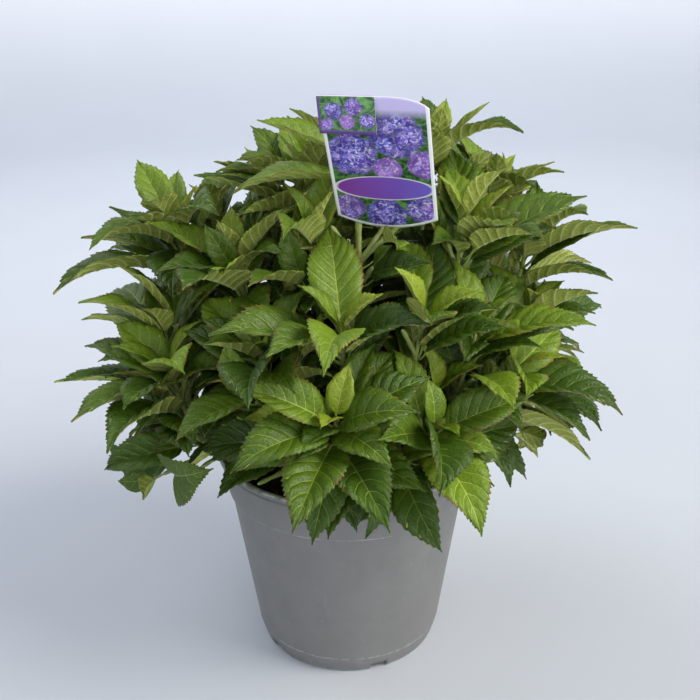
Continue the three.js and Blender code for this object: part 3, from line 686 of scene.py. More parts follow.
def shape_of(rings, apex=None):
    """A closed shape for crossing tests: its lowest and highest corner and the tree of its faces."""
    sides, points = len(rings[0]), np.concatenate(rings + ([apex[None]] if apex is not None else []))
    faces = [list(range(sides))[::-1]]
    for i in range(len(rings) - 1):
        for j in range(sides):
            a, b = i * sides + j, i * sides + (j + 1) % sides
            faces += [(a, b, b + sides), (a, b + sides, a + sides)]
    last = (len(rings) - 1) * sides
    if apex is None:
        faces.append(list(range(last, last + sides)))
    else:
        faces += [(last + j, last + (j + 1) % sides, len(points) - 1) for j in range(sides)]
    return points.min(0), points.max(0), BVHTree.FromPolygons(points.tolist(), faces)


class Grown:
    """What has grown so far: the leaves and shoots, and a shape a piece with whether it is wood and which mass it
    belongs to. finer is set once the growth goes on past the solids'."""

    def __init__(self, room=9000):
        """Starts empty, with room for so many pieces."""
        self.low, self.high = np.full((room, 3), np.inf), np.full((room, 3), -np.inf)
        self.trees, self.wood, self.mass = [], np.zeros(room, bool), np.zeros(room, int)
        self.leaves, self.branches, self.finer = [], [], False

    def keep(self, shape, wood, mass):
        """Adds the shape of a piece."""
        count = len(self.trees)
        self.low[count], self.high[count], self.wood[count], self.mass[count] = shape[0], shape[1], wood, mass
        self.trees.append(shape[2])

    def crosses(self, shape, own_mass=None, but=None):
        """Whether the shape crosses anything. The wood of its own mass doesn't count where that is given, nor do the
        leaf and stalk that were kept at the place but."""
        near = np.all((self.low <= shape[1]) & (shape[0] <= self.high), axis=1)
        if but is not None:
            near[but:but + 2] = False
        if own_mass is not None:
            near &= ~(self.wood & (self.mass == own_mass))
        return any(shape[2].overlap(self.trees[i]) for i in np.flatnonzero(near))


def inside_dome(points):
    """Whether points keep inside the crown's outline, a rounded dome with a deeper one below it."""
    x, y, z = np.moveaxis(points, -1, 0)
    share = (z - DOME_Z) / np.where(z > DOME_Z, DOME_ABOVE, -DOME_BELOW)
    rounded_sum = (np.hypot(x, y) / DOME_R) ** DOME_POWER + share ** DOME_POWER
    return bool(np.all((z <= TOP) & (z >= LOW) & (rounded_sum <= 1)))


def leaves_bare(points):
    """Whether a finer leaf keeps off what shows bare at the front: the pot below its rim, the rim itself at its two
    front corners, and the label's face."""
    x, y, z = np.moveaxis(points, -1, 0)
    bearing = np.degrees(np.arctan2(y, x))
    corner = ((bearing < RIM_LEFT) | (bearing > RIM_RIGHT)) & (np.hypot(x, y) < RIM_REACH)
    on_pot = (y < 0) & (z < np.where(corner, RIM_SHOWS_Z, HANGS_TO_Z))
    on_label = (abs(x - LABEL_X) < LABEL_REACH) & (y < LABEL_Y) & (z > LABEL_Z + 0.27 * (LABEL_Y - y))
    return not np.any(on_pot | on_label)


def grow_leaf(grown, mass, twig, age, clear=CLEAR, tries=TRIES, **pose):
    """Adds the leaf at the first of a few turns, lifts and sizes where it keeps clear of all but its own twig."""
    for n in range(tries):
        turn = np.radians(pose["turn"] + 9 * ((n + 1) // 2) * (1 if n % 2 else -1))
        leaf = dict(pose, axis=twig["axis"], out=twig["out"] * np.cos(turn) + twig["side"] * np.sin(turn),
                    length=pose["length"] * (1 - 0.05 * n), age=age,
                    rise=pose["rise"] + 4 * n + LIGHT * twig["lean"] * np.cos(turn))
        _, blade, _ = leaf_rings(leaf, 0)
        if not inside_dome(np.concatenate(blade)) or grown.finer and not leaves_bare(np.concatenate(blade)):
            continue
        stalk, blade, apex = leaf_rings(leaf, clear)
        if grown.crosses(shape_of(blade[:-1], apex)) or grown.crosses(shape_of(stalk), mass):
            continue
        stalk, blade, apex = leaf_rings(leaf, 0)
        leaf["place"] = len(grown.trees)
        grown.keep(shape_of(blade[:-1], apex), False, mass)
        grown.keep(shape_of(stalk), True, mass)
        grown.leaves.append(leaf)
        return


def grow_pair(grown, mass, twig, k, random, age):
    """Pair k from the tip of a twig, its two leaves drawn a little apart from the rule."""
    for half in (0, 180):
        turn, size, rise, droop, roll = (either_way(random) for _ in range(5))
        grow_leaf(
            grown, mass, twig, age,
            node=twig["tip"] - PAIR_DROP[k] * twig["scale"] * twig["axis"],
            turn=twig["turn"] + 90 * k + half + 9 * turn,
            length=twig["leaf"] * PAIR_SIZE[k] * (1 + 0.08 * size),
            rise=PAIR_RISE[k] + 8 * rise,
            droop=PAIR_DROOP[k] * (1 + 0.35 * droop) + HANG * (DOME_Z - twig["tip"][2]) / 100,
            roll=12 * roll)


def fold_leaves(grown):
    """Closes each blade upwards along its midrib by a seeded angle, or by less where it has no room for that, and
    draws how far its tip curls down."""
    random = np.random.default_rng(9)
    for leaf in grown.leaves:
        wished = float(np.clip(random.normal(*FOLDS), BLADE_FOLD, FOLD_MOST)) - OLD_FOLD * (leaf["age"] >= 4)
        leaf["fold"] = BLADE_FOLD
        leaf["curl"] = float(np.clip(random.normal(*CURLS), 0, CURL_MOST))
        for fold in np.arange(wished, BLADE_FOLD, -4):
            _, blade, apex = leaf_rings(leaf, 0.2, fold)
            shape = shape_of(blade[:-1], apex)
            if inside_dome(np.concatenate(blade)) and not grown.crosses(shape, but=leaf["place"]):
                leaf["fold"] = fold
                place = leaf["place"]
                grown.low[place], grown.high[place], grown.trees[place] = shape
                break


def side_branch(twig, below_tip, turn, rise, length, leaf, scale):
    """A shoot from the axil of a pair: its frame leans out from the twig's own."""
    turn, rise = np.radians(turn), np.radians(rise)
    out = twig["out"] * np.cos(turn) + twig["side"] * np.sin(turn)
    axis, side = out * np.cos(rise) + twig["axis"] * np.sin(rise), np.cross(twig["axis"], out)
    root = twig["tip"] + (5 - below_tip) * twig["axis"]
    return dict(axis=axis, side=side, out=np.cross(side, axis), root=root, tip=root + axis * length, turn=90,
                leaf=leaf, scale=scale, lean=90 - SIDE_RISE)


def branch_shape(branch, swell):
    """The crossing-test shape of a shoot, widened by swell: a tapering prism with a pointed end."""
    rings = [small_ring(branch["root"] * (1 - t) + branch["tip"] * t, branch["axis"], branch["side"],
                        TWIG_TIP_R + 0.4 - 0.7 * t + swell, 4) for t in (0, 1)]
    return shape_of(rings, branch["tip"] + branch["axis"] * (TWIG_TIP_R + swell))


def grow_branch(grown, mass, branch):
    """Keeps the shoot if it stays in the dome and keeps clear of all but its own mass's wood."""
    grows = inside_dome(branch["tip"]) and not grown.crosses(branch_shape(branch, CLEAR), mass)
    if grows:
        grown.keep(branch_shape(branch, 0), True, mass)
        grown.branches.append(branch)
    return grows


def frame_shape(cad_node):
    """The crossing-test shape of a CAD node, in millimetres."""
    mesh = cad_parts[cad_node].data
    points = np.zeros(3 * len(mesh.vertices), np.float32)
    mesh.vertices.foreach_get("co", points)
    points = points.reshape(-1, 3) * 1000.0
    return points.min(0), points.max(0), BVHTree.FromPolygons(points.tolist(), [p.vertices[:] for p in mesh.polygons])


# The finer growth. Pairs of numbers are a base and the span of what is drawn on top of it.
FINE_CLEAR = 0.5
BUD_CLEAR = 0.1
BUD_LENGTH = (13, 7)
BUD_RISE = (74, 8)
BUD_DROOP = -6
SHOOT = 20
SHOOT_LEAF = (64, 34)
CANE_PAIRS = (0.98, 0.86, 0.74, 0.62, 0.5)
CANE_SHOOT = 44
CANE_SHOOT_LEAF = (62, 34)
CANE_LEAF = 92
CANE_LEAF_SIZE = (0.72, 0.3)
CANE_LEAF_RISE = (12, 26)
CANE_LEAF_DROOP = (30, 24)
RIM_TURNS = (0, 42, -42, 78, -78)
RIM_DROP = (44, 24)
RIM_LEAF = (62, 20)
RIM_LEAF_RISE = (-8, 12)
BETWEEN_TURNS = (45, 225, 135, 315)
BETWEEN_DROPS = (18, 46, 80)
BETWEEN_LEAF = 50
BETWEEN_SIZES = (1.5, 1.2, 0.95)
LOOSE_DROOP = (30, 20)
LOOSE_ROLL = 14


def grow_buds(grown, masses):
    """Two leaves that still stand closed at every tip."""
    for mass, twig, random in masses:
        for half in (0, 180):
            grow_leaf(grown, mass, twig, -1, BUD_CLEAR, 4, node=twig["tip"] + 1.5 * twig["axis"],
                      turn=drawn(random, twig["turn"] + 90 + half, 20), length=drawn(random, *BUD_LENGTH),
                      rise=drawn(random, *BUD_RISE), droop=BUD_DROOP, roll=0)


def grow_axil_shoots(grown, masses):
    """A short shoot with two pairs from every axil of the leading twigs that has room for it."""
    for mass, twig, random in masses:
        for k in range(1, twig["pairs"]):
            for half in (0, 180):
                branch = side_branch(twig, PAIR_DROP[k], twig["turn"] + 90 * k + half + 20 * either_way(random),
                                     SIDE_RISE + 8, SHOOT * (0.7 + 0.3 * k), drawn(random, *SHOOT_LEAF), 0.5)
                if grow_branch(grown, mass, branch):
                    for pair in (1, 3):
                        grow_pair(grown, mass, branch, pair, random, 1 + (pair > 1))


def grow_on_canes(grown, masses):
    """Shoots and shaded older leaves at the canes' own nodes, from the highest down."""
    for share in CANE_PAIRS:
        for mass, twig, random in masses:
            here, ahead = cane_curve(twig, [share, share + 0.01])
            axis = (ahead - here) / np.linalg.norm(ahead - here)
            lean = np.degrees(np.arccos(np.clip(axis[2], -1, 1)))
            stem = dict(axis=axis, out=np.cross(twig["side"], axis), side=twig["side"], lean=lean, tip=here)
            turn = twig["turn"] + (90 if share in CANE_PAIRS[::2] else 0)
            for half in (0, 180):
                branch = side_branch(stem, 5, turn + half + 24 * either_way(random), SIDE_RISE,
                                     CANE_SHOOT * drawn(random, 0.7, 0.6), drawn(random, *CANE_SHOOT_LEAF), 0.7)
                if grow_branch(grown, mass, branch):
                    for pair in (0, 2, 3):
                        grow_pair(grown, mass, branch, pair, random, 2 + pair // 2)
            for way in (0, 180, 90, 270):
                grow_leaf(grown, mass, stem, 5, FINE_CLEAR, 9,
                          node=here, turn=turn + way + 16 * either_way(random),
                          length=(CANE_LEAF - 8 * (way % 180 != 0)) * drawn(random, *CANE_LEAF_SIZE),
                          rise=drawn(random, *CANE_LEAF_RISE), droop=drawn(random, *CANE_LEAF_DROOP),
                          roll=LOOSE_ROLL * either_way(random))


def grow_over_rim(grown, masses):
    """Leaves that hang out and down over the rim from the low twigs."""
    for mass, twig, random in masses:
        for turn in RIM_TURNS if twig["tip"][2] < LOW_CANE else ():
            grow_leaf(grown, mass, twig, 3, FINE_CLEAR, 9,
                      node=twig["tip"] - drawn(random, *RIM_DROP) * twig["axis"],
                      turn=turn + 14 * either_way(random), length=drawn(random, *RIM_LEAF),
                      rise=drawn(random, *RIM_LEAF_RISE), droop=drawn(random, *LOOSE_DROOP),
                      roll=LOOSE_ROLL * either_way(random))


def grow_between(grown, masses):
    """Leaves in the gaps between the pairs of the leading twigs, large ones first."""
    for size in BETWEEN_SIZES:
        for mass, twig, random in masses:
            for drop in BETWEEN_DROPS:
                for way in BETWEEN_TURNS if drop <= PAIR_DROP[twig["pairs"] - 1] else ():
                    grow_leaf(grown, mass, twig, 2 + (drop > 40), FINE_CLEAR, 5,
                              node=twig["tip"] - drop * twig["axis"],
                              turn=twig["turn"] + way + 12 * either_way(random),
                              length=size * (BETWEEN_LEAF + 0.35 * drop) * drawn(random, 0.85, 0.3),
                              rise=drawn(random, 44 - 0.3 * drop, 10), droop=drawn(random, *LOOSE_DROOP),
                              roll=LOOSE_ROLL * either_way(random))


def grow_shrub():
    """All leaves and side shoots. The first rounds are the CAD source's; what follows is finer, and from the shoots
    on the canes on, each cane counts as its own mass's wood."""
    grown = Grown()
    others = ("pot", "potting_mix", "crown", "label")
    for cad_node in (*others, *("cane_" + name for name in CANES)):
        grown.keep(frame_shape(cad_node), True, -1)
    masses = [(i, twig, drawn_numbers(101 + 37 * i)) for i, twig in enumerate(twigs.values())]
    for mass, twig, _ in masses:
        rings = [small_ring(twig["root"] * (1 - t) + twig["tip"] * t, twig["axis"], twig["side"],
                            CANE_TIP_R + (TWIG_TIP_R - CANE_TIP_R) * t, 4) for t in (0, 1)]
        grown.keep(shape_of(rings, twig["tip"] + 2 * TWIG_TIP_R * twig["axis"]), True, mass)
    for k in range(len(PAIR_DROP)):
        for mass, twig, random in masses:
            if k < twig["pairs"]:
                grow_pair(grown, mass, twig, k, random, k)
    for mass, twig, random in masses:
        for k in (twig["pairs"] - 1, twig["pairs"] - 2):
            for half in (0, 180):
                chance, turn, rise = next(random), either_way(random), either_way(random)
                if chance > SIDE_CHANCE:
                    continue
                branch = side_branch(twig, PAIR_DROP[k], twig["turn"] + 90 * k + half + 14 * turn,
                                     SIDE_RISE + 10 * rise, SIDE_TWIG, twig["leaf"] * SIDE_LEAF, 0.8)
                if grow_branch(grown, mass, branch):
                    for pair in (0, 2):
                        grow_pair(grown, mass, branch, pair, random, pair)
    grown.finer = True
    grow_buds(grown, masses)
    grow_axil_shoots(grown, masses)
    grown.mass[len(others):len(others) + len(CANES)] = np.arange(len(CANES))
    grow_on_canes(grown, masses)
    grow_over_rim(grown, masses)
    grow_between(grown, masses)
    fold_leaves(grown)
    return grown.leaves, grown.branches


# The dressed leaf. A blade's small sizes are shares of its length, its sheet is in millimetres, and a layout says
# how many side veins it has and how many rows lie between them. Stalk radii are those of a 100 mm leaf.
BLUSH = "7d4a2a"
VEIN_WIDTH = 0.0088
SWEEP = 0.27
TOOTH = 0.0115
TOOTH_FORWARD = 0.010
NARROWEST = 0.012
RIB_HALF = 0.62
COLUMNS = np.array([-1, -0.66, -0.3, 0, 0, 0.3, 0.66, 1])
SHEET_HALF = 0.24
WAVE = 0.014
PUFF = 0.023
MIDRIB_KEEL = 0.010
VEIN_KEEL = 0.0052
LARGE_LEAF = 70
MIDDLING_LEAF = 42
LAYOUTS = {"large": (7, 5), "middling": (5, 3), "small": (4, 1)}
LEAVES_A_PIECE = 100
BOX_ROOM = 1
STALK_RADII = np.array([2.0, 1.45, 1.25, 1.2, 1.25, 1.3, 0.5])
LEAST_DROOP = 0.01
KNOT_SWELL = 0.28
KNOT_HALF = 3.5


def dressed_half_width(s):
    """As half_width, a little fuller near the foot and drawn out more at the tip."""
    return 0.5 * np.abs(np.sin(np.pi * s ** 0.8)) ** (0.66 + 0.75 * s)


def blade_layout(veins, between):
    """The rows of a blade: their place along the midrib (0 to 1), pillow height, tooth, which side of a side vein
    they are on (1 before it, 2 past it and 0 elsewhere), and how far from one, in gaps between veins."""
    at = 0.045 + 0.80 * ((np.arange(veins) + 0.25) / veins) ** 1.12
    rows = [(0, 0, 0, 0, 1), (at[0] / 2, 0.3, 0, 0, 0.5)]
    for k, vein in enumerate(at):
        last = k == veins - 1
        count, end = between + 2 * last, 1 if last else at[k + 1]
        rows += [(vein, 0, 1, 1, 0), (vein, 0, 1, 2, 0)]
        for j in range(1, count + 1):
            share = j / (count + 1)
            rows.append((vein + (end - vein) * share, np.sin(np.pi * share), 1 if j % 2 == 0 else -1, 0,
                         2 * share if last else min(share, 1 - share)))
    rows.append((1, 0, 0, 0, 1))
    return np.array(rows, float)


def gathered(leaves, *keys):
    """One array a key, with a row a leaf."""
    return [np.array([leaf[key] for leaf in leaves], float) for key in keys]


def blade_points(leaves, layout):
    """Top and under sheet of each leaf. A row leaves the midrib at its place and sweeps towards the tip as a side
    vein does; across it the half blade rises by the fold and levels off. The midrib curls down towards the tip.
    Teeth push the margin out and forward. Between veins both sheets are pillowed up, and along the veins the under
    sheet stands out as ribs."""
    start, out, axis = (each[:, None, None] for each in gathered(leaves, "node", "out", "axis"))
    length = gathered(leaves, "length")[0][:, None, None]
    rise, droop, tilt, fold, curl = (np.radians(each)[:, None, None] for each in
                                     gathered(leaves, "rise", "droop", "roll", "fold", "curl"))
    droop = np.where(np.abs(droop) < LEAST_DROOP, LEAST_DROOP, droop)
    across = np.cross(axis, out)
    stalk_rise = rise[..., None] + np.radians(PETIOLE_RISE)
    foot = start + (out * np.cos(stalk_rise) + axis * np.sin(stalk_rise)) * (PETIOLE * length)[..., None]

    u, pillow, tooth = layout[:, 0][:, None], layout[:, 1][:, None], layout[:, 2][:, None]
    c = np.broadcast_to(COLUMNS, (len(layout), len(COLUMNS)))
    vein_side = np.array([0, -1, 1])[layout[:, 3].astype(int)][:, None]
    margin = np.abs(c) == 1
    fade = np.sin(np.pi * np.clip(u, 0, 1)) ** 0.6
    forward = SWEEP * np.abs(c) ** 1.15 * fade * (1 - u * 0.35) + vein_side * VEIN_WIDTH / 2 * (1 - 0.66 * np.abs(c))
    s = np.clip(u + forward + margin * (TOOTH_FORWARD * tooth + 0.006) * fade, 0, 1)
    s = np.where(u >= 1, 1, s)
    half = BLADE_WIDTH * np.maximum(dressed_half_width(s), NARROWEST) * length
    rib = np.clip((0.012 - 0.008 * u) * length, 0.3, 1.1) * RIB_HALF
    inner = np.array([0, 0, 0, -1, 1, 0, 0, 0])
    teeth = np.minimum(TOOTH * length, 0.3 * half) * (0.4 + tooth) * fade * margin * np.sign(c)
    lateral = half * c + teeth + inner * np.minimum(rib, 0.4 * half)
    angle = fold * (1.26 - 0.42 * np.abs(c)) + np.sign(c) * tilt
    phase = 2.4 * np.arange(len(leaves))[:, None, None]
    wave = WAVE * length * c ** 2 * np.sin(2 * np.pi * (2.3 * u + 0.2 * np.sign(c)) + phase) * fade
    puff = PUFF * length * pillow * np.array([0.35, 1, 0.9, 0, 0, 0.9, 1, 0.35]) * fade
    lift = np.abs(lateral) * np.sin(angle) + wave + puff
    flat = lateral * np.cos(angle)

    curl = curl * s ** 3
    bend = rise - droop * s
    ahead = length * ((np.sin(rise) - np.sin(bend)) / droop + np.sin(bend) * curl * s / 4)
    above = length * ((np.cos(bend) - np.cos(rise)) / droop - np.cos(bend) * curl * s / 4)
    centre = foot + out * ahead[..., None] + axis * above[..., None]
    normal = out * -np.sin(bend - curl)[..., None] + axis * np.cos(bend - curl)[..., None]
    middle = centre + across * flat[..., None] + normal * lift[..., None]
    on_rib, on_vein = inner != 0, layout[:, 3:4] > 0
    sunk = -0.1 * on_rib - 0.06 * on_vein
    keel = MIDRIB_KEEL * length * (1 - 0.75 * u) * on_rib + VEIN_KEEL * length * on_vein * (1 - np.abs(c))
    top = middle + normal * (SHEET_HALF + sunk)[..., None]
    under = middle - normal * (SHEET_HALF + keel)[..., None]
    return np.stack([top, under], 1)


def sheet_quads(rows, columns):
    """The faces of a closed thin sheet between two grids of points: its front, its back and the edge all round."""
    size = rows * columns
    front = grid_quads(rows, columns)
    r, c = np.arange(rows - 1) * columns, np.arange(columns - 1)
    right, last = r + columns - 1, (rows - 1) * columns + c
    edge = np.concatenate([
        np.stack([right + columns, right, right + size, right + columns + size], 1),
        np.stack([r, r + columns, r + columns + size, r + size], 1),
        np.stack([last, last + 1, last + 1 + size, last + size], 1),
        np.stack([c + 1, c, c + size, c + 1 + size], 1),
    ])
    return front, front[:, ::-1] + size, edge


def blade_faces(layout):
    """Faces of one blade, turned over because its columns run from left to right as seen from above, and how many
    are its edge. Materials are 0 for the top and the edge, 1 for veins on top, 2 for the under side and 3 for
    veins under it."""
    top, under, edge = sheet_quads(len(layout), len(COLUMNS))
    vein = np.zeros((len(layout) - 1, len(COLUMNS) - 1), bool)
    vein[layout[:-1, 3] == 1] = True
    vein[:, len(COLUMNS) // 2 - 1] = True
    faces = np.concatenate([top[:, ::-1], under[:, ::-1], np.roll(edge[:, ::-1], 2, axis=1)])
    kind = np.concatenate([vein.ravel() * 1, vein.ravel() + 2, np.zeros(len(edge), int)])
    return faces, kind, len(edge)


def margin_blush(tree, colour, amount):
    """Mixes red-brown into a leaf's colour along its margin and towards its tip, in patches. Reads the blade map:
    0 to 1 across the blade and 0 to 1 from its foot to its tip."""
    place = node(tree, "TexCoord").outputs["Object"]
    blade = node(tree, "UVMap", uv_map="blade").outputs["UV"]
    across, along = (node(tree, "SeparateXYZ", {0: blade}).outputs[i] for i in (0, 1))
    off_middle = node(tree, "Math", {0: across, 1: 0.5}, operation="SUBTRACT")
    off_middle = node(tree, "Math", {0: off_middle}, operation="ABSOLUTE")
    margin = node(tree, "MapRange", {"Value": off_middle, "From Min": 0.455, "From Max": 0.5})
    tip = node(tree, "MapRange", {"Value": along, "From Min": 0.9, "From Max": 1.0})
    either = node(tree, "Math", {0: margin, 1: tip}, operation="MAXIMUM")
    patch = node(tree, "TexNoise", {"Vector": place, "Scale": 36, "Detail": 3})
    patch = node(tree, "MapRange", {"Value": patch, "From Min": 0.46, "From Max": 0.62, "To Max": amount})
    share = node(tree, "Math", {0: either, 1: patch}, operation="MULTIPLY")
    return node(tree, "Mix", {0: share, 6: colour, 7: linear(BLUSH)}, data_type="RGBA")


def finished_leaf(material, colour, rough, gloss, relief, through, share):
    """The material of a leaf or stalk: a soft gloss, and a share of light that comes through in its own colour."""
    tree = material.node_tree
    face = node(tree, "BsdfPrincipled", {"Base Color": colour, "Roughness": rough, "Specular IOR Level": gloss,
                                         "Normal": relief})
    glow = node(tree, "BsdfTranslucent", {"Color": linear(through), "Normal": relief})
    both = node(tree, "MixShader", {0: share, 1: face, 2: glow})
    node(tree, "OutputMaterial", {"Surface": both})
    return material


def leaf_top(name, tint, light, dark, blush):
    """The upper face of a hydrangea leaf: soft, a little glossy, quilted between its veins by a net of finer ones
    about three millimetres apart. Light comes through it yellow-green."""
    material, tree = new_material(name)
    place = node(tree, "TexCoord").outputs["Object"]
    patch = node(tree, "TexNoise", {"Vector": place, "Scale": 24, "Detail": 4, "Roughness": 0.55})
    patch = node(tree, "MapRange", {"Value": patch, "From Min": 0.3, "From Max": 0.7})
    net = node(tree, "TexVoronoi", {"Vector": place, "Scale": 360}, feature="DISTANCE_TO_EDGE")
    fine_vein = node(tree, "MapRange", {"Value": net, "From Max": 0.09, "To Min": 0.28, "To Max": 0})
    grain = node(tree, "TexNoise", {"Vector": place, "Scale": 900, "Detail": 3})
    body = node(tree, "Mix", {0: patch, 6: linear(dark), 7: linear(tint)}, data_type="RGBA")
    netted = node(tree, "Mix", {0: fine_vein, 6: body, 7: linear(light)}, data_type="RGBA")
    colour = margin_blush(tree, netted, blush)
    height = node(tree, "MapRange", {"Value": net, "From Max": 0.4, "To Max": 1}, interpolation_type="SMOOTHSTEP")
    height = node(tree, "Math", {0: grain, 1: 0.15, 2: height}, operation="MULTIPLY_ADD")
    relief = node(tree, "Bump", {"Height": height, "Strength": 0.5, "Distance": 0.0005})
    rough = node(tree, "MapRange", {"Value": grain, "To Min": 0.4, "To Max": 0.54})
    return finished_leaf(material, colour, rough, 0.44, relief, light, 0.15)


def leaf_underside(name, low, high, rib):
    """The lower face of a hydrangea leaf: paler than the upper one and matt, with a net of fine veins and straw-pale
    ribs, soft at their edges. Reads the map of ribs: how far off the midrib, and off the nearest side vein."""
    material, tree = new_material(name)
    place = node(tree, "TexCoord").outputs["Object"]
    patch = node(tree, "TexNoise", {"Vector": place, "Scale": 30, "Detail": 5, "Roughness": 0.6})
    patch = node(tree, "MapRange", {"Value": patch, "From Min": 0.3, "From Max": 0.7})
    net = node(tree, "TexVoronoi", {"Vector": place, "Scale": 300}, feature="DISTANCE_TO_EDGE")
    fine_vein = node(tree, "MapRange", {"Value": net, "From Max": 0.14, "To Min": 0.42, "To Max": 0})
    off_rib = node(tree, "UVMap", uv_map="ribs").outputs["UV"]
    off_midrib, off_side_vein = (node(tree, "SeparateXYZ", {0: off_rib}).outputs[i] for i in (0, 1))
    midrib = node(tree, "MapRange", {"Value": off_midrib, "From Max": 0.09, "To Min": 0.9, "To Max": 0})
    side_vein = node(tree, "MapRange", {"Value": off_side_vein, "From Max": 0.15, "To Min": 0.9, "To Max": 0})
    ribs = node(tree, "Math", {0: midrib, 1: side_vein}, operation="MAXIMUM")
    veins = node(tree, "Math", {0: ribs, 1: fine_vein}, operation="MAXIMUM")
    blade = node(tree, "Mix", {0: patch, 6: linear(low), 7: linear(high)}, data_type="RGBA")
    colour = node(tree, "Mix", {0: veins, 6: blade, 7: linear(rib)}, data_type="RGBA")
    colour = margin_blush(tree, colour, 0.5)
    height = node(tree, "MapRange", {"Value": net, "From Max": 0.3, "To Min": 1, "To Max": 0})
    relief = node(tree, "Bump", {"Height": height, "Strength": 0.4, "Distance": 0.0005})
    return finished_leaf(material, colour, 0.56, 0.35, relief, high, 0.15)


def leaf_matt(name, low, high, rough, scale):
    """A matt green part of the plant, a vein or a stalk: mottled at about two centimetres and finely grained at
    three millimetres."""
    material, tree = new_material(name)
    place = node(tree, "TexCoord").outputs["Object"]
    patch = node(tree, "TexNoise", {"Vector": place, "Scale": scale, "Detail": 5, "Roughness": 0.6})
    patch = node(tree, "MapRange", {"Value": patch, "From Min": 0.3, "From Max": 0.7})
    grain = node(tree, "TexVoronoi", {"Vector": place, "Scale": 300}, feature="DISTANCE_TO_EDGE")
    grain = node(tree, "MapRange", {"Value": grain, "From Max": 0.3})
    relief = node(tree, "Bump", {"Height": grain, "Strength": 0.4, "Distance": 0.0005})
    colour = node(tree, "Mix", {0: patch, 6: linear(low), 7: linear(high)}, data_type="RGBA")
    return finished_leaf(material, colour, rough, 0.35, relief, high, 0.12)


# Tints run from the lime of leaves that still unfold to the dark green of old ones. The darkest, deep and shade,
# go to the old leaves low on the shoots and on the canes inside the crown: partly their age and partly painted
# shade. Each has the blade's colour, the lighter one that shines through and shows in fine veins, the darker one of
# its patches, that of the veins on top, and how much its margin blushes.
TINTS = {
    "lime": ("90a42c", "bccb58", "768f1c", "c0cd74", 0.8),
    "fresh": ("6f8c1c", "9fb43c", "58761a", "aabc62", 0.9),
    "mid": ("4e6c0b", "7f9829", "3c570b", "98ad52", 0.7),
    "green": ("3d5d08", "6c8722", "2e4908", "8ba44c", 0.5),
    "deep": ("345309", "5f7b22", "284108", "7c9646", 0.4),
    "shade": ("2a4309", "4f681e", "203409", "6b843c", 0.3),
}
# Where each age falls among the tints, from a bud to a leaf on a cane. The far end is partly painted shade for the
# leaves inside the crown.
TINT_OF_AGE = (0, 0.6, 1.5, 2.4, 3.1, 3.7, 4.3)


def tint_of(leaf, random):
    """A leaf's tint from its age (pairs below the tip, -1 in a bud) and a seeded draw."""
    place = round(TINT_OF_AGE[leaf["age"] + 1] + random.normal(0, 0.6))
    return list(TINTS)[int(np.clip(place, 0, len(TINTS) - 1))]


def size_class(leaf):
    """Which layout of rows a leaf gets. The shaded ones deep inside need no more than the middling one."""
    if leaf["length"] > LARGE_LEAF and leaf["age"] < 5:
        return "large"
    return "middling" if leaf["length"] > MIDDLING_LEAF else "small"


def add_leaves(leaves):
    """One piece a tint, size class and hundred leaves, each kind on its own layout of rows."""
    random = np.random.default_rng(5)
    under = [leaf_underside("hydrangea_leaf_underside", "94a338", "b4c154", "dee498"),
             leaf_matt("hydrangea_vein_underside", "d8df90", "e6ecac", 0.56, 60)]
    groups = {}
    for leaf in leaves:
        groups.setdefault((tint_of(leaf, random), size_class(leaf)), []).append(leaf)
    surfaces = {tint: [leaf_top("hydrangea_leaf_" + tint, top, light, dark, blush),
                       leaf_matt("hydrangea_vein_" + tint, light, vein, 0.5, 60), *under]
                for tint, (top, light, dark, vein, blush) in TINTS.items()}
    for (tint, size), members in sorted(groups.items()):
        layout = blade_layout(*LAYOUTS[size])
        faces, kind, edge_count = blade_faces(layout)
        blade_map = np.stack(np.broadcast_arrays(0.5 + 0.5 * COLUMNS, layout[:, :1]), 2).reshape(-1, 2)
        rib_map = np.stack(np.broadcast_arrays(np.abs(COLUMNS), layout[:, 4:]), 2).reshape(-1, 2)
        for first in range(0, len(members), LEAVES_A_PIECE):
            chosen = members[first:first + LEAVES_A_PIECE]
            name = "leaves_%s_%s_%d" % (tint, size, first // LEAVES_A_PIECE + 1)
            piece = add_piece(name, blade_points(chosen, layout).reshape(-1, 3),
                              repeated(faces, len(chosen), 2 * len(blade_map)), surfaces[tint],
                              np.tile(kind, len(chosen)))
            smooth = np.tile(np.arange(len(faces)) < len(faces) - edge_count, len(chosen))
            piece.data.polygons.foreach_set("use_smooth", smooth)
            set_map(piece, "blade", np.tile(blade_map, (2 * len(chosen), 1)))
            set_map(piece, "ribs", np.tile(rib_map, (2 * len(chosen), 1)))
            yield piece


def make_stalks(leaves):
    """Round stalks. Each leaves its node at its petiole's rise, sags a little in the middle and meets the blade's
    foot, then runs on under the midrib for a tenth of the blade."""
    start, out, axis, length, rise = gathered(leaves, "node", "out", "axis", "length", "rise")
    length, rise = length[:, None], np.radians(rise)[:, None]
    way = out * np.cos(rise + np.radians(PETIOLE_RISE)) + axis * np.sin(rise + np.radians(PETIOLE_RISE))
    blade_way = out * np.cos(rise) + axis * np.sin(rise)
    across = np.cross(axis, out)
    below = np.cross(across, blade_way)
    foot = start + way * PETIOLE * length
    t = np.linspace(0, 1, 6)[None, :, None]
    sag = (below * 0.02 * length)[:, None] * np.sin(np.pi * t)
    shaft = start[:, None] * (1 - t) + foot[:, None] * t + sag
    end = foot + blade_way * 0.1 * length + below * 0.006 * length
    return tubes(np.concatenate([shaft, end[:, None]], 1), length / 100 * STALK_RADII, across, 6)


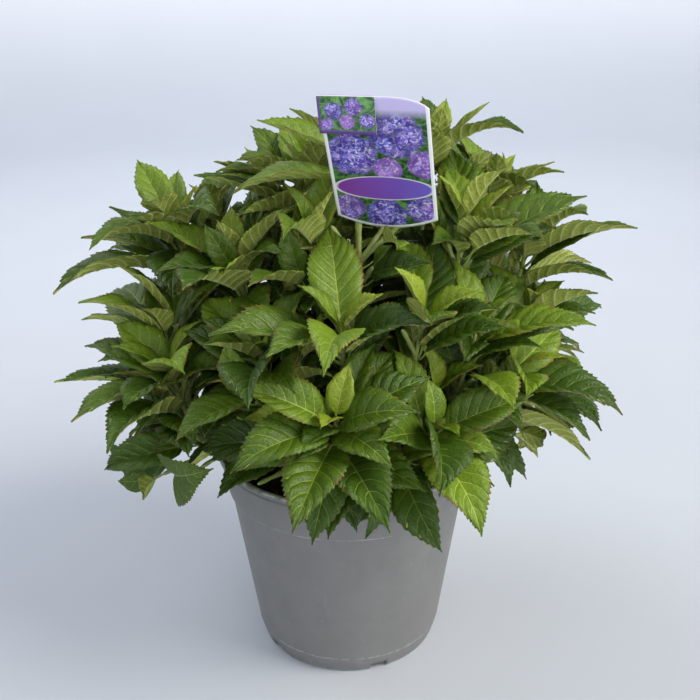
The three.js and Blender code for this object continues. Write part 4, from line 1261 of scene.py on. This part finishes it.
def make_twigs(shoots):
    """Tubes from each shoot's root to its tip. They taper evenly, bulge at every pair by a bell curve of the
    distance to it, and close to a blunt tip."""
    scale = np.array([shoot["scale"] for shoot in shoots])[:, None]
    t = np.linspace(0, 1, 22)[:, None]
    paths = np.array([shoot["root"] * (1 - t) + shoot["tip"] * t for shoot in shoots])
    radii = np.where(scale == 1, CANE_TIP_R, TWIG_TIP_R + 0.4) * (1 - t.T) + (TWIG_TIP_R - 0.2) * t.T
    below_tip = np.linalg.norm(paths - paths[:, -1:], axis=2)
    knots = sum(np.exp(-((below_tip - drop * scale) / KNOT_HALF) ** 2) for drop in PAIR_DROP[1:])
    radii = radii * (1 + KNOT_SWELL * knots)
    radii[:, -1] *= 0.4
    return tubes(paths, radii, np.array([shoot["side"] for shoot in shoots]), 8)


def straighten_at_box(leaves):
    """Takes the curl out of leaves whose tips it would carry past the solids' box."""
    points = blade_points(leaves, blade_layout(4, 1)).reshape(len(leaves), -1, 3)
    low, high = 1000 * np.array(cad_box)
    past = np.any((points < low + BOX_ROOM) | (points > high - BOX_ROOM), axis=(1, 2))
    for leaf, over in zip(leaves, past):
        leaf["curl"] *= not over


leaves, branches = grow_shrub()
straighten_at_box(leaves)
leaf_pieces = list(add_leaves(leaves))
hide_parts(*("foliage_" + name for name in CANES))

stalks = add_tubes("leaf_stalks", make_stalks(leaves), [leaf_matt("hydrangea_stalk", "8aa04c", "a9bd6c", 0.5, 40)])
twig_piece = add_tubes("twigs", make_twigs([*twigs.values(), *branches]),
                       [leaf_matt("hydrangea_twig", "8ea052", "abb873", 0.5, 50)])

# The label is a card of printed polypropylene 0.7 mm thick. Its strap folds forward over the top as a small panel,
# and behind the card narrows to a tongue that loops round a twig. The print is a picture of violet mopheads over
# green leaves with a bare oval; it carries no words.

CARD_WIDTH = 76
CARD_HEIGHT = 110
CARD_ARCH = 9
CARD_SAG = 10
SHEET = 0.8
CARD_FOOT = (34, -70, 407)
CARD_LEAN = 29
CARD_TURN = -14
PANEL_WIDTH = 40
PANEL_LENGTH = 27
PANEL_OPEN = 12
FOLD_R = 1.5
STRAP_LENGTH = 24
STRAP_HALF = 0.3
TONGUE_WIDTH = 12
LOOP_R = 2.7
LOOP_DROP = 46
OVAL = (0.7, 39, 35, 10.5)
BORDER = 2.6
card_place = Matrix.Translation(CARD_FOOT) @ (
    Matrix.Rotation(np.radians(CARD_TURN), 4, "Z") @ Matrix.Rotation(np.radians(CARD_LEAN), 4, "X"))


def on_card(points):
    """Points of the upright card, set in its place: leaned forward, then turned."""
    turn = np.array(card_place)
    return points @ turn[:3, :3].T + turn[:3, 3]


def add_sheet(name, front, back, coordinates, materials):
    """A closed thin sheet as a piece, printed in front, smooth on its faces and sharp at its edge, with a print map
    in metres."""
    quads, back_quads, edge = sheet_quads(*front.shape[:2])
    faces, count = np.concatenate([quads, back_quads, edge]), len(quads)
    piece = add_piece(name, np.concatenate([front.reshape(-1, 3), back.reshape(-1, 3)]), faces, materials,
                      np.arange(len(faces)) >= count)
    piece.data.polygons.foreach_set("use_smooth", np.arange(len(faces)) < 2 * count)
    set_map(piece, "print", np.concatenate([coordinates, coordinates]).reshape(-1, 2) * 0.001)
    return piece


def card_grid():
    """Rows up the card by columns across it: its foot is a sagging arc and its top arches over from the right
    shoulder."""
    half, top = CARD_WIDTH / 2, CARD_HEIGHT + CARD_ARCH
    a = np.linspace(-1, 1, 49)
    t = (-0.4 + np.sqrt(0.16 + 1.6 * np.clip(1 - a, 0, 0.8))) / 0.8
    upper = top - CARD_ARCH * (1 - np.clip(t, 0, 1)) ** 2
    lower = CARD_SAG * a ** 2
    b = np.linspace(0, 1, 61)[:, None]
    height = lower + (upper - lower) * b
    return np.broadcast_to(a * half, height.shape), height


def make_card(materials):
    """The flat card, a little inside the thickness of its solid."""
    across, height = card_grid()
    front, back = (on_card(np.stack([across, np.full_like(across, y), height], 2)) for y in (0.05 - SHEET, -0.05))
    return add_sheet("label_card", front, back, np.stack([across, height], 2), materials)


def print_of_mopheads(name, heads, petals, ground, finish_print):
    """Offset print under a thin gloss: round violet flower heads of pale-edged petals, so many to the metre, over
    green leaves. A head is (x, z, radius, share of pink). finish_print adds what lies over the flowers. The print
    map is in metres."""
    material, tree = new_material(name)
    place = node(tree, "UVMap", uv_map="print").outputs["UV"]
    across, up = (node(tree, "SeparateXYZ", {0: place}).outputs[i] for i in (0, 1))
    leaf_noise = node(tree, "TexNoise", {"Vector": place, "Scale": 130, "Detail": 6, "Roughness": 0.6,
                                         "Distortion": 1.6})
    leaf_part = node(tree, "MapRange", {"Value": leaf_noise, "From Min": 0.42, "From Max": 0.62})
    picture = node(tree, "Mix", {0: leaf_part, 6: linear(ground[0]), 7: linear(ground[1])}, data_type="RGBA")
    wander = node(tree, "TexNoise", {"Vector": place, "Scale": 0.8 * petals, "Detail": 3}).outputs["Color"]
    wander = node(tree, "VectorMath", {0: wander, 1: (1.9 / petals, 1.9 / petals, 0)}, operation="MULTIPLY")
    curled = node(tree, "VectorMath", {0: place, 1: wander}, operation="ADD")
    floret = node(tree, "TexVoronoi", {"Vector": curled, "Scale": petals / 2.2, "Randomness": 0.9})
    petal = node(tree, "TexVoronoi", {"Vector": curled, "Scale": petals})
    petal_edge = node(tree, "TexVoronoi", {"Vector": curled, "Scale": petals}, feature="DISTANCE_TO_EDGE")
    tone = node(tree, "SeparateColor", {0: petal.outputs["Color"]}).outputs[0]
    cluster = node(tree, "SeparateColor", {0: floret.outputs["Color"]}).outputs[1]
    blue = node(tree, "Mix", {0: tone, 6: linear("4a40d0"), 7: linear("a198ff")}, data_type="RGBA")
    purple = node(tree, "Mix", {0: tone, 6: linear("7a40c4"), 7: linear("cba4f6")}, data_type="RGBA")
    violet = node(tree, "Mix", {0: cluster, 6: blue, 7: purple}, data_type="RGBA")
    cupped = node(tree, "MapRange", {"Value": petal, "From Min": 0.24, "From Max": 0.7, "To Max": 0.7})
    violet = node(tree, "Mix", {0: cupped, 6: violet, 7: linear("3027a4")}, data_type="RGBA")
    pale_edge = node(tree, "MapRange", {"Value": petal_edge, "From Min": 0.02, "From Max": 0.16, "To Min": 1,
                                        "To Max": 0})
    lit = node(tree, "TexNoise", {"Vector": place, "Scale": 1.4 * petals, "Detail": 2})
    lit = node(tree, "MapRange", {"Value": lit, "From Min": 0.42, "From Max": 0.6})
    pale_edge = node(tree, "Math", {0: pale_edge, 1: lit}, operation="MULTIPLY")
    violet = node(tree, "Mix", {0: pale_edge, 6: violet, 7: linear("f1eeff")}, data_type="RGBA")
    gap = node(tree, "MapRange", {"Value": floret, "From Min": 0.46, "From Max": 0.78, "To Max": 0.75})
    flowers = node(tree, "Mix", {0: gap, 6: violet, 7: linear("241c7c")}, data_type="RGBA")
    ragged_edge = node(tree, "TexNoise", {"Vector": place, "Scale": 140, "Detail": 2})
    for x, z, size, pink in heads:
        away = ellipse_reach(tree, across, up, (x, z, size, size))
        ragged = node(tree, "Math", {0: ragged_edge, 1: 0.35, 2: away}, operation="MULTIPLY_ADD")
        shade = node(tree, "MapRange", {"Value": away, "From Min": 0.55, "From Max": 1.05, "To Max": 0.55})
        shaded = node(tree, "Mix", {0: shade, 6: flowers, 7: linear("2a2175")}, data_type="RGBA")
        head = node(tree, "Mix", {0: pink, 6: shaded, 7: linear("cf7fd0")}, data_type="RGBA")
        in_head = inside(tree, ragged, 1.14, 0.05)
        picture = node(tree, "Mix", {0: in_head, 6: picture, 7: head}, data_type="RGBA")
    picture = finish_print(tree, across, up, picture)
    fine = node(tree, "TexNoise", {"Vector": place, "Scale": 1400, "Detail": 1})
    relief = node(tree, "Bump", {"Height": fine, "Strength": 0.06, "Distance": 0.0002})
    surface = node(tree, "BsdfPrincipled", {"Base Color": picture, "Roughness": 0.3, "Coat Weight": 0.25,
                                            "Coat Roughness": 0.2, "Normal": relief})
    node(tree, "OutputMaterial", {"Surface": surface})
    return material


def ellipse_reach(tree, across, up, ellipse):
    """Distance from an ellipse's middle in units of its half axes. ellipse is (x, z, half width, half height)."""
    squares = []
    for coordinate, middle, half in ((across, ellipse[0], ellipse[2]), (up, ellipse[1], ellipse[3])):
        away = node(tree, "Math", {0: coordinate, 1: middle / 1000}, operation="SUBTRACT")
        away = node(tree, "Math", {0: away, 1: 1000 / half}, operation="MULTIPLY")
        squares.append(node(tree, "Math", {0: away, 1: 2}, operation="POWER"))
    total = node(tree, "Math", {0: squares[0], 1: squares[1]}, operation="ADD")
    return node(tree, "Math", {0: total}, operation="SQRT")


def inside(tree, distance, edge, soft=0.03):
    """1 inside an edge and 0 outside it."""
    return node(tree, "MapRange", {"Value": distance, "From Min": edge - soft, "From Max": edge + soft,
                                   "To Min": 1, "To Max": 0})


def step(tree, value, edge, soft=0.0002):
    """0 below an edge in metres and 1 above it."""
    return node(tree, "MapRange", {"Value": value, "From Min": edge - soft, "From Max": edge + soft})


def card_finish(tree, across, up, picture):
    """The lilac top, the bare purple oval with its white line, and the white border along sides and foot."""
    picture = node(tree, "Mix", {0: step(tree, up, 0.105, 0.004), 6: picture, 7: linear("d3c8f7")}, data_type="RGBA")
    oval = ellipse_reach(tree, across, up, OVAL)
    picture = node(tree, "Mix", {0: inside(tree, oval, 1.06), 6: picture, 7: linear("f4f2fa")}, data_type="RGBA")
    run = node(tree, "MapRange", {"Value": across, "From Min": -0.034, "From Max": 0.036})
    purple = node(tree, "Mix", {0: run, 6: linear("86369f"), 7: linear("7463cf")}, data_type="RGBA")
    picture = node(tree, "Mix", {0: inside(tree, oval, 1.0), 6: picture, 7: purple}, data_type="RGBA")
    side = node(tree, "Math", {0: across}, operation="ABSOLUTE")
    foot = node(tree, "Math", {0: across, 1: 2000 / CARD_WIDTH}, operation="MULTIPLY")
    foot = node(tree, "Math", {0: foot, 1: 2}, operation="POWER")
    foot = node(tree, "Math", {0: foot, 1: -CARD_SAG / 1000, 2: up}, operation="MULTIPLY_ADD")
    off_foot = node(tree, "Math", {0: 1, 1: step(tree, foot, BORDER / 1000)}, operation="SUBTRACT")
    at_side = step(tree, side, (CARD_WIDTH / 2 - BORDER) / 1000)
    border = node(tree, "Math", {0: at_side, 1: off_foot}, operation="MAXIMUM")
    return node(tree, "Mix", {0: border, 6: picture, 7: linear("f8f8fb")}, data_type="RGBA")


def strap_finish(tree, across, up, picture):
    """The panel's purple line along its free edge and left side, and the plain lilac of the strap past the fold."""
    left = node(tree, "MapRange", {"Value": across, "From Min": -0.0184, "From Max": -0.018, "To Min": 1, "To Max": 0})
    free = node(tree, "MapRange", {"Value": up, "From Min": 0.0024, "From Max": 0.0028, "To Min": 1, "To Max": 0})
    line = node(tree, "Math", {0: left, 1: free}, operation="MAXIMUM")
    picture = node(tree, "Mix", {0: line, 6: picture, 7: linear("6d4c9c")}, data_type="RGBA")
    past_fold = step(tree, up, (PANEL_LENGTH + 1) / 1000)
    return node(tree, "Mix", {0: past_fold, 6: picture, 7: linear("b3a3d8")}, data_type="RGBA")


def plain_print(name, low, high):
    """Unprinted polypropylene sheet, satin and faintly clouded, with a trace of the film's grain."""
    material, tree = new_material(name)
    place = node(tree, "TexCoord").outputs["Object"]
    cloud = node(tree, "TexNoise", {"Vector": place, "Scale": 45, "Detail": 3})
    grain = node(tree, "TexNoise", {"Vector": place, "Scale": 1300, "Detail": 1})
    relief = node(tree, "Bump", {"Height": grain, "Strength": 0.08, "Distance": 0.0002})
    colour = node(tree, "Mix", {0: cloud, 6: linear(low), 7: linear(high)}, data_type="RGBA")
    surface = node(tree, "BsdfPrincipled", {"Base Color": colour, "Roughness": 0.36, "Normal": relief})
    node(tree, "OutputMaterial", {"Surface": surface})
    return material


def make_strap(materials):
    """A sheet along the strap's path: up the panel, round the fold, down behind and in to the tongue at the loop.
    Its width follows the same path."""
    twig = twigs["top_label"]
    top, left = CARD_HEIGHT + CARD_ARCH, (PANEL_WIDTH - CARD_WIDTH) / 2
    opening = np.radians(PANEL_OPEN)
    loop = twig["tip"] - LOOP_DROP * twig["axis"]
    loop_front = loop + (LOOP_R + SHEET / 2) * twig["out"]
    corners = on_card(np.array([
        [left, -FOLD_R - PANEL_LENGTH * np.sin(opening), top - PANEL_LENGTH * np.cos(opening)],
        [left, -FOLD_R, top - SHEET / 2], [left, FOLD_R, top - SHEET / 2]]))
    down = (loop_front - corners[2]) / np.linalg.norm(loop_front - corners[2])
    corners = np.concatenate([corners, [corners[2] + STRAP_LENGTH * down, corners[2] + (STRAP_LENGTH + 8) * down,
                                        loop_front]])
    widths = np.array([PANEL_WIDTH] * 4 + [TONGUE_WIDTH, TONGUE_WIDTH / 2])
    run = np.append(0, np.cumsum(np.linalg.norm(np.diff(corners, axis=0), axis=1)))
    place = np.unique(np.concatenate([np.linspace(0, run[-1], 60), run, run[1] + np.linspace(-2, 5, 15)]))
    path = np.stack([np.interp(place, run, corners[:, i]) for i in range(3)], 1)
    smooth = path.copy()
    near = (place > run[1] - 3) & (place < run[2] + 3)
    for _ in range(3):
        smooth[1:-1] = np.where(near[1:-1, None], (smooth[:-2] + smooth[1:-1] + smooth[2:]) / 3, smooth[1:-1])
    across = on_card(np.array([[1.0, 0, 0]]))[0] - on_card(np.array([[0.0, 0, 0]]))[0]
    ahead = np.gradient(smooth, axis=0)
    normal = np.cross(ahead, across)
    normal /= np.linalg.norm(normal, axis=1, keepdims=True)
    width = np.interp(place, run, widths)
    span = np.linspace(-0.5, 0.5, 13)
    middle = smooth[:, None] + across * (width[:, None] * span)[..., None]
    coordinates = np.stack(np.broadcast_arrays(width[:, None] * span, place[:, None]), 2)
    return add_sheet("label_strap", middle - normal[:, None] * STRAP_HALF, middle + normal[:, None] * STRAP_HALF,
                     coordinates, materials)


def make_loop(material):
    """A band bent round the twig: a flat ring lathe about the twig's axis."""
    twig = twigs["top_label"]
    centre = twig["tip"] - LOOP_DROP * twig["axis"]
    inner, outer, half = LOOP_R, LOOP_R + SHEET, TONGUE_WIDTH / 2
    profile = np.array([(inner, -half), (outer, -half), (outer, half), (inner, half), (inner, -half)])
    x, y, z = np.split(lathe(profile, np.arange(0, 361, 12)), 3, axis=2)
    loop = add_lathe("label_loop", centre + x * twig["out"] + y * twig["side"] + z * twig["axis"], material)


# Flower heads of the prints: across, up, radius in millimetres, and share of pink.
card_heads = ((-20, 69, 19, 0.0), (13, 87, 20, 0.0), (32, 62, 13, 0.2), (-13, 98, 12, 0.3), (5, 57, 11, 0.28),
              (-28, 19, 13, 0.1), (0, 13, 16, 0.0), (29, 19, 14, 0.0))
panel_heads = ((-9, 17, 6.5, 0.0), (5, 20, 6.5, 0.1), (0, 9, 5.5, 0.35), (14, 10, 5.5, 0.0), (-14, 7, 4.5, 0.2))
picture_print = print_of_mopheads("printed_polypropylene_picture", card_heads, 290, ("16391f", "5f9a4c"), card_finish)
panel_print = print_of_mopheads("printed_polypropylene_panel", panel_heads, 520, ("20502b", "76ad62"), strap_finish)
white_back = plain_print("polypropylene_sheet_white", "d5d5d8", "e3e3e6")
card = make_card([picture_print, white_back])
strap = make_strap([panel_print, white_back])
make_loop(white_back)
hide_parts("label")

# A plain pale floor that curves up all round into a plain wall, and soft studio light from the upper right.

FLOOR_R = 2.6
CURVE_R = 1.2
WALL_HEIGHT = 2.4
SENSOR = 36
LENS = 51.02
CAMERA_AT = (0.00377, -0.79656, 0.60339)
CAMERA_PITCH = 67.82
CAMERA_ROLL = -0.63


def make_backdrop():
    """A lathe of the floor, a quarter circle and the wall, open at the top."""
    arc = np.linspace(0, np.pi / 2, 24)
    profile = np.concatenate([
        [[0.001, 0]], np.stack([FLOOR_R + CURVE_R * np.sin(arc), CURVE_R - CURVE_R * np.cos(arc)], 1),
        [[FLOOR_R + CURVE_R, WALL_HEIGHT]]])
    points = lathe(profile, np.arange(0, 361, 5))
    mesh = bpy.data.meshes.new("backdrop")
    faces = grid_quads(*points.shape[:2])[:, ::-1]
    mesh.from_pydata(points.reshape(-1, 3).tolist(), [], faces.tolist())
    mesh.polygons.foreach_set("use_smooth", np.ones(len(mesh.polygons), bool))
    backdrop = bpy.data.objects.new("backdrop", mesh)
    bpy.context.scene.collection.objects.link(backdrop)
    return backdrop


def matt_paint():
    """Matt pale paint with the faintest unevenness of a rolled surface, grey on the floor and white up the wall."""
    material, tree = new_material("studio_paint_matt")
    place = node(tree, "TexCoord").outputs["Object"]
    cloud = node(tree, "TexNoise", {"Vector": place, "Scale": 3, "Detail": 3})
    height = node(tree, "SeparateXYZ", {0: place}).outputs["Z"]
    wall = node(tree, "MapRange", {"Value": height, "From Max": 0.9}, interpolation_type="SMOOTHSTEP")
    floor = node(tree, "Mix", {0: cloud, 6: linear("b8bec8"), 7: linear("bec4ce")}, data_type="RGBA")
    colour = node(tree, "Mix", {0: wall, 6: floor, 7: linear("f4f6fa")}, data_type="RGBA")
    surface = node(tree, "BsdfPrincipled", {"Base Color": colour, "Roughness": 0.8, "Specular IOR Level": 0.2})
    node(tree, "OutputMaterial", {"Surface": surface})
    return material


def add_light(name, place, size, power, colour, looks_at=(0, 0, 0.3)):
    """A soft square light that looks at a point, the middle of the shrub unless told otherwise."""
    light = bpy.data.lights.new(name, "AREA")
    light.size, light.energy, light.color = size, power, linear(colour)[:3]
    lamp = bpy.data.objects.new(name, light)
    lamp.location = place
    lamp.rotation_euler = (Vector(looks_at) - Vector(place)).to_track_quat("-Z", "Y").to_euler()
    bpy.context.scene.collection.objects.link(lamp)


backdrop = make_backdrop()
backdrop.data.materials.append(matt_paint())
add_light("key", (2.1, -0.92, 2.36), 1.7, 102, "fff8ec")
add_light("front", (0.9, -2.1, 0.9), 1.4, 14, "ffffff")
add_light("fill", (-1.6, -0.9, 1.1), 1.4, 3, "eef4ff")
add_light("floor_left", (-1.3, 0.5, 2.0), 1.6, 24, "ffffff", (-0.75, -0.25, 0))
add_light("wall_wash", (0, 1.4, 2.3), 1.6, 43, "f6f9ff", (0, 3.6, 0.9))

world = bpy.data.worlds.new("studio")
world.use_nodes = True
world.node_tree.nodes["Background"].inputs["Color"].default_value = linear("e8eef7")
world.node_tree.nodes["Background"].inputs["Strength"].default_value = 0.345
bpy.context.scene.world = world
bpy.context.scene.view_settings.view_transform = "Standard"

camera_data = bpy.data.cameras.new("camera")
camera_data.sensor_width, camera_data.lens = SENSOR, LENS
camera = bpy.data.objects.new("camera", camera_data)
camera.matrix_world = (Matrix.Translation(CAMERA_AT) @ Matrix.Rotation(np.radians(CAMERA_PITCH), 4, "X")
                       @ Matrix.Rotation(np.radians(CAMERA_ROLL), 4, "Z"))
bpy.context.scene.collection.objects.link(camera)
bpy.context.scene.camera = camera
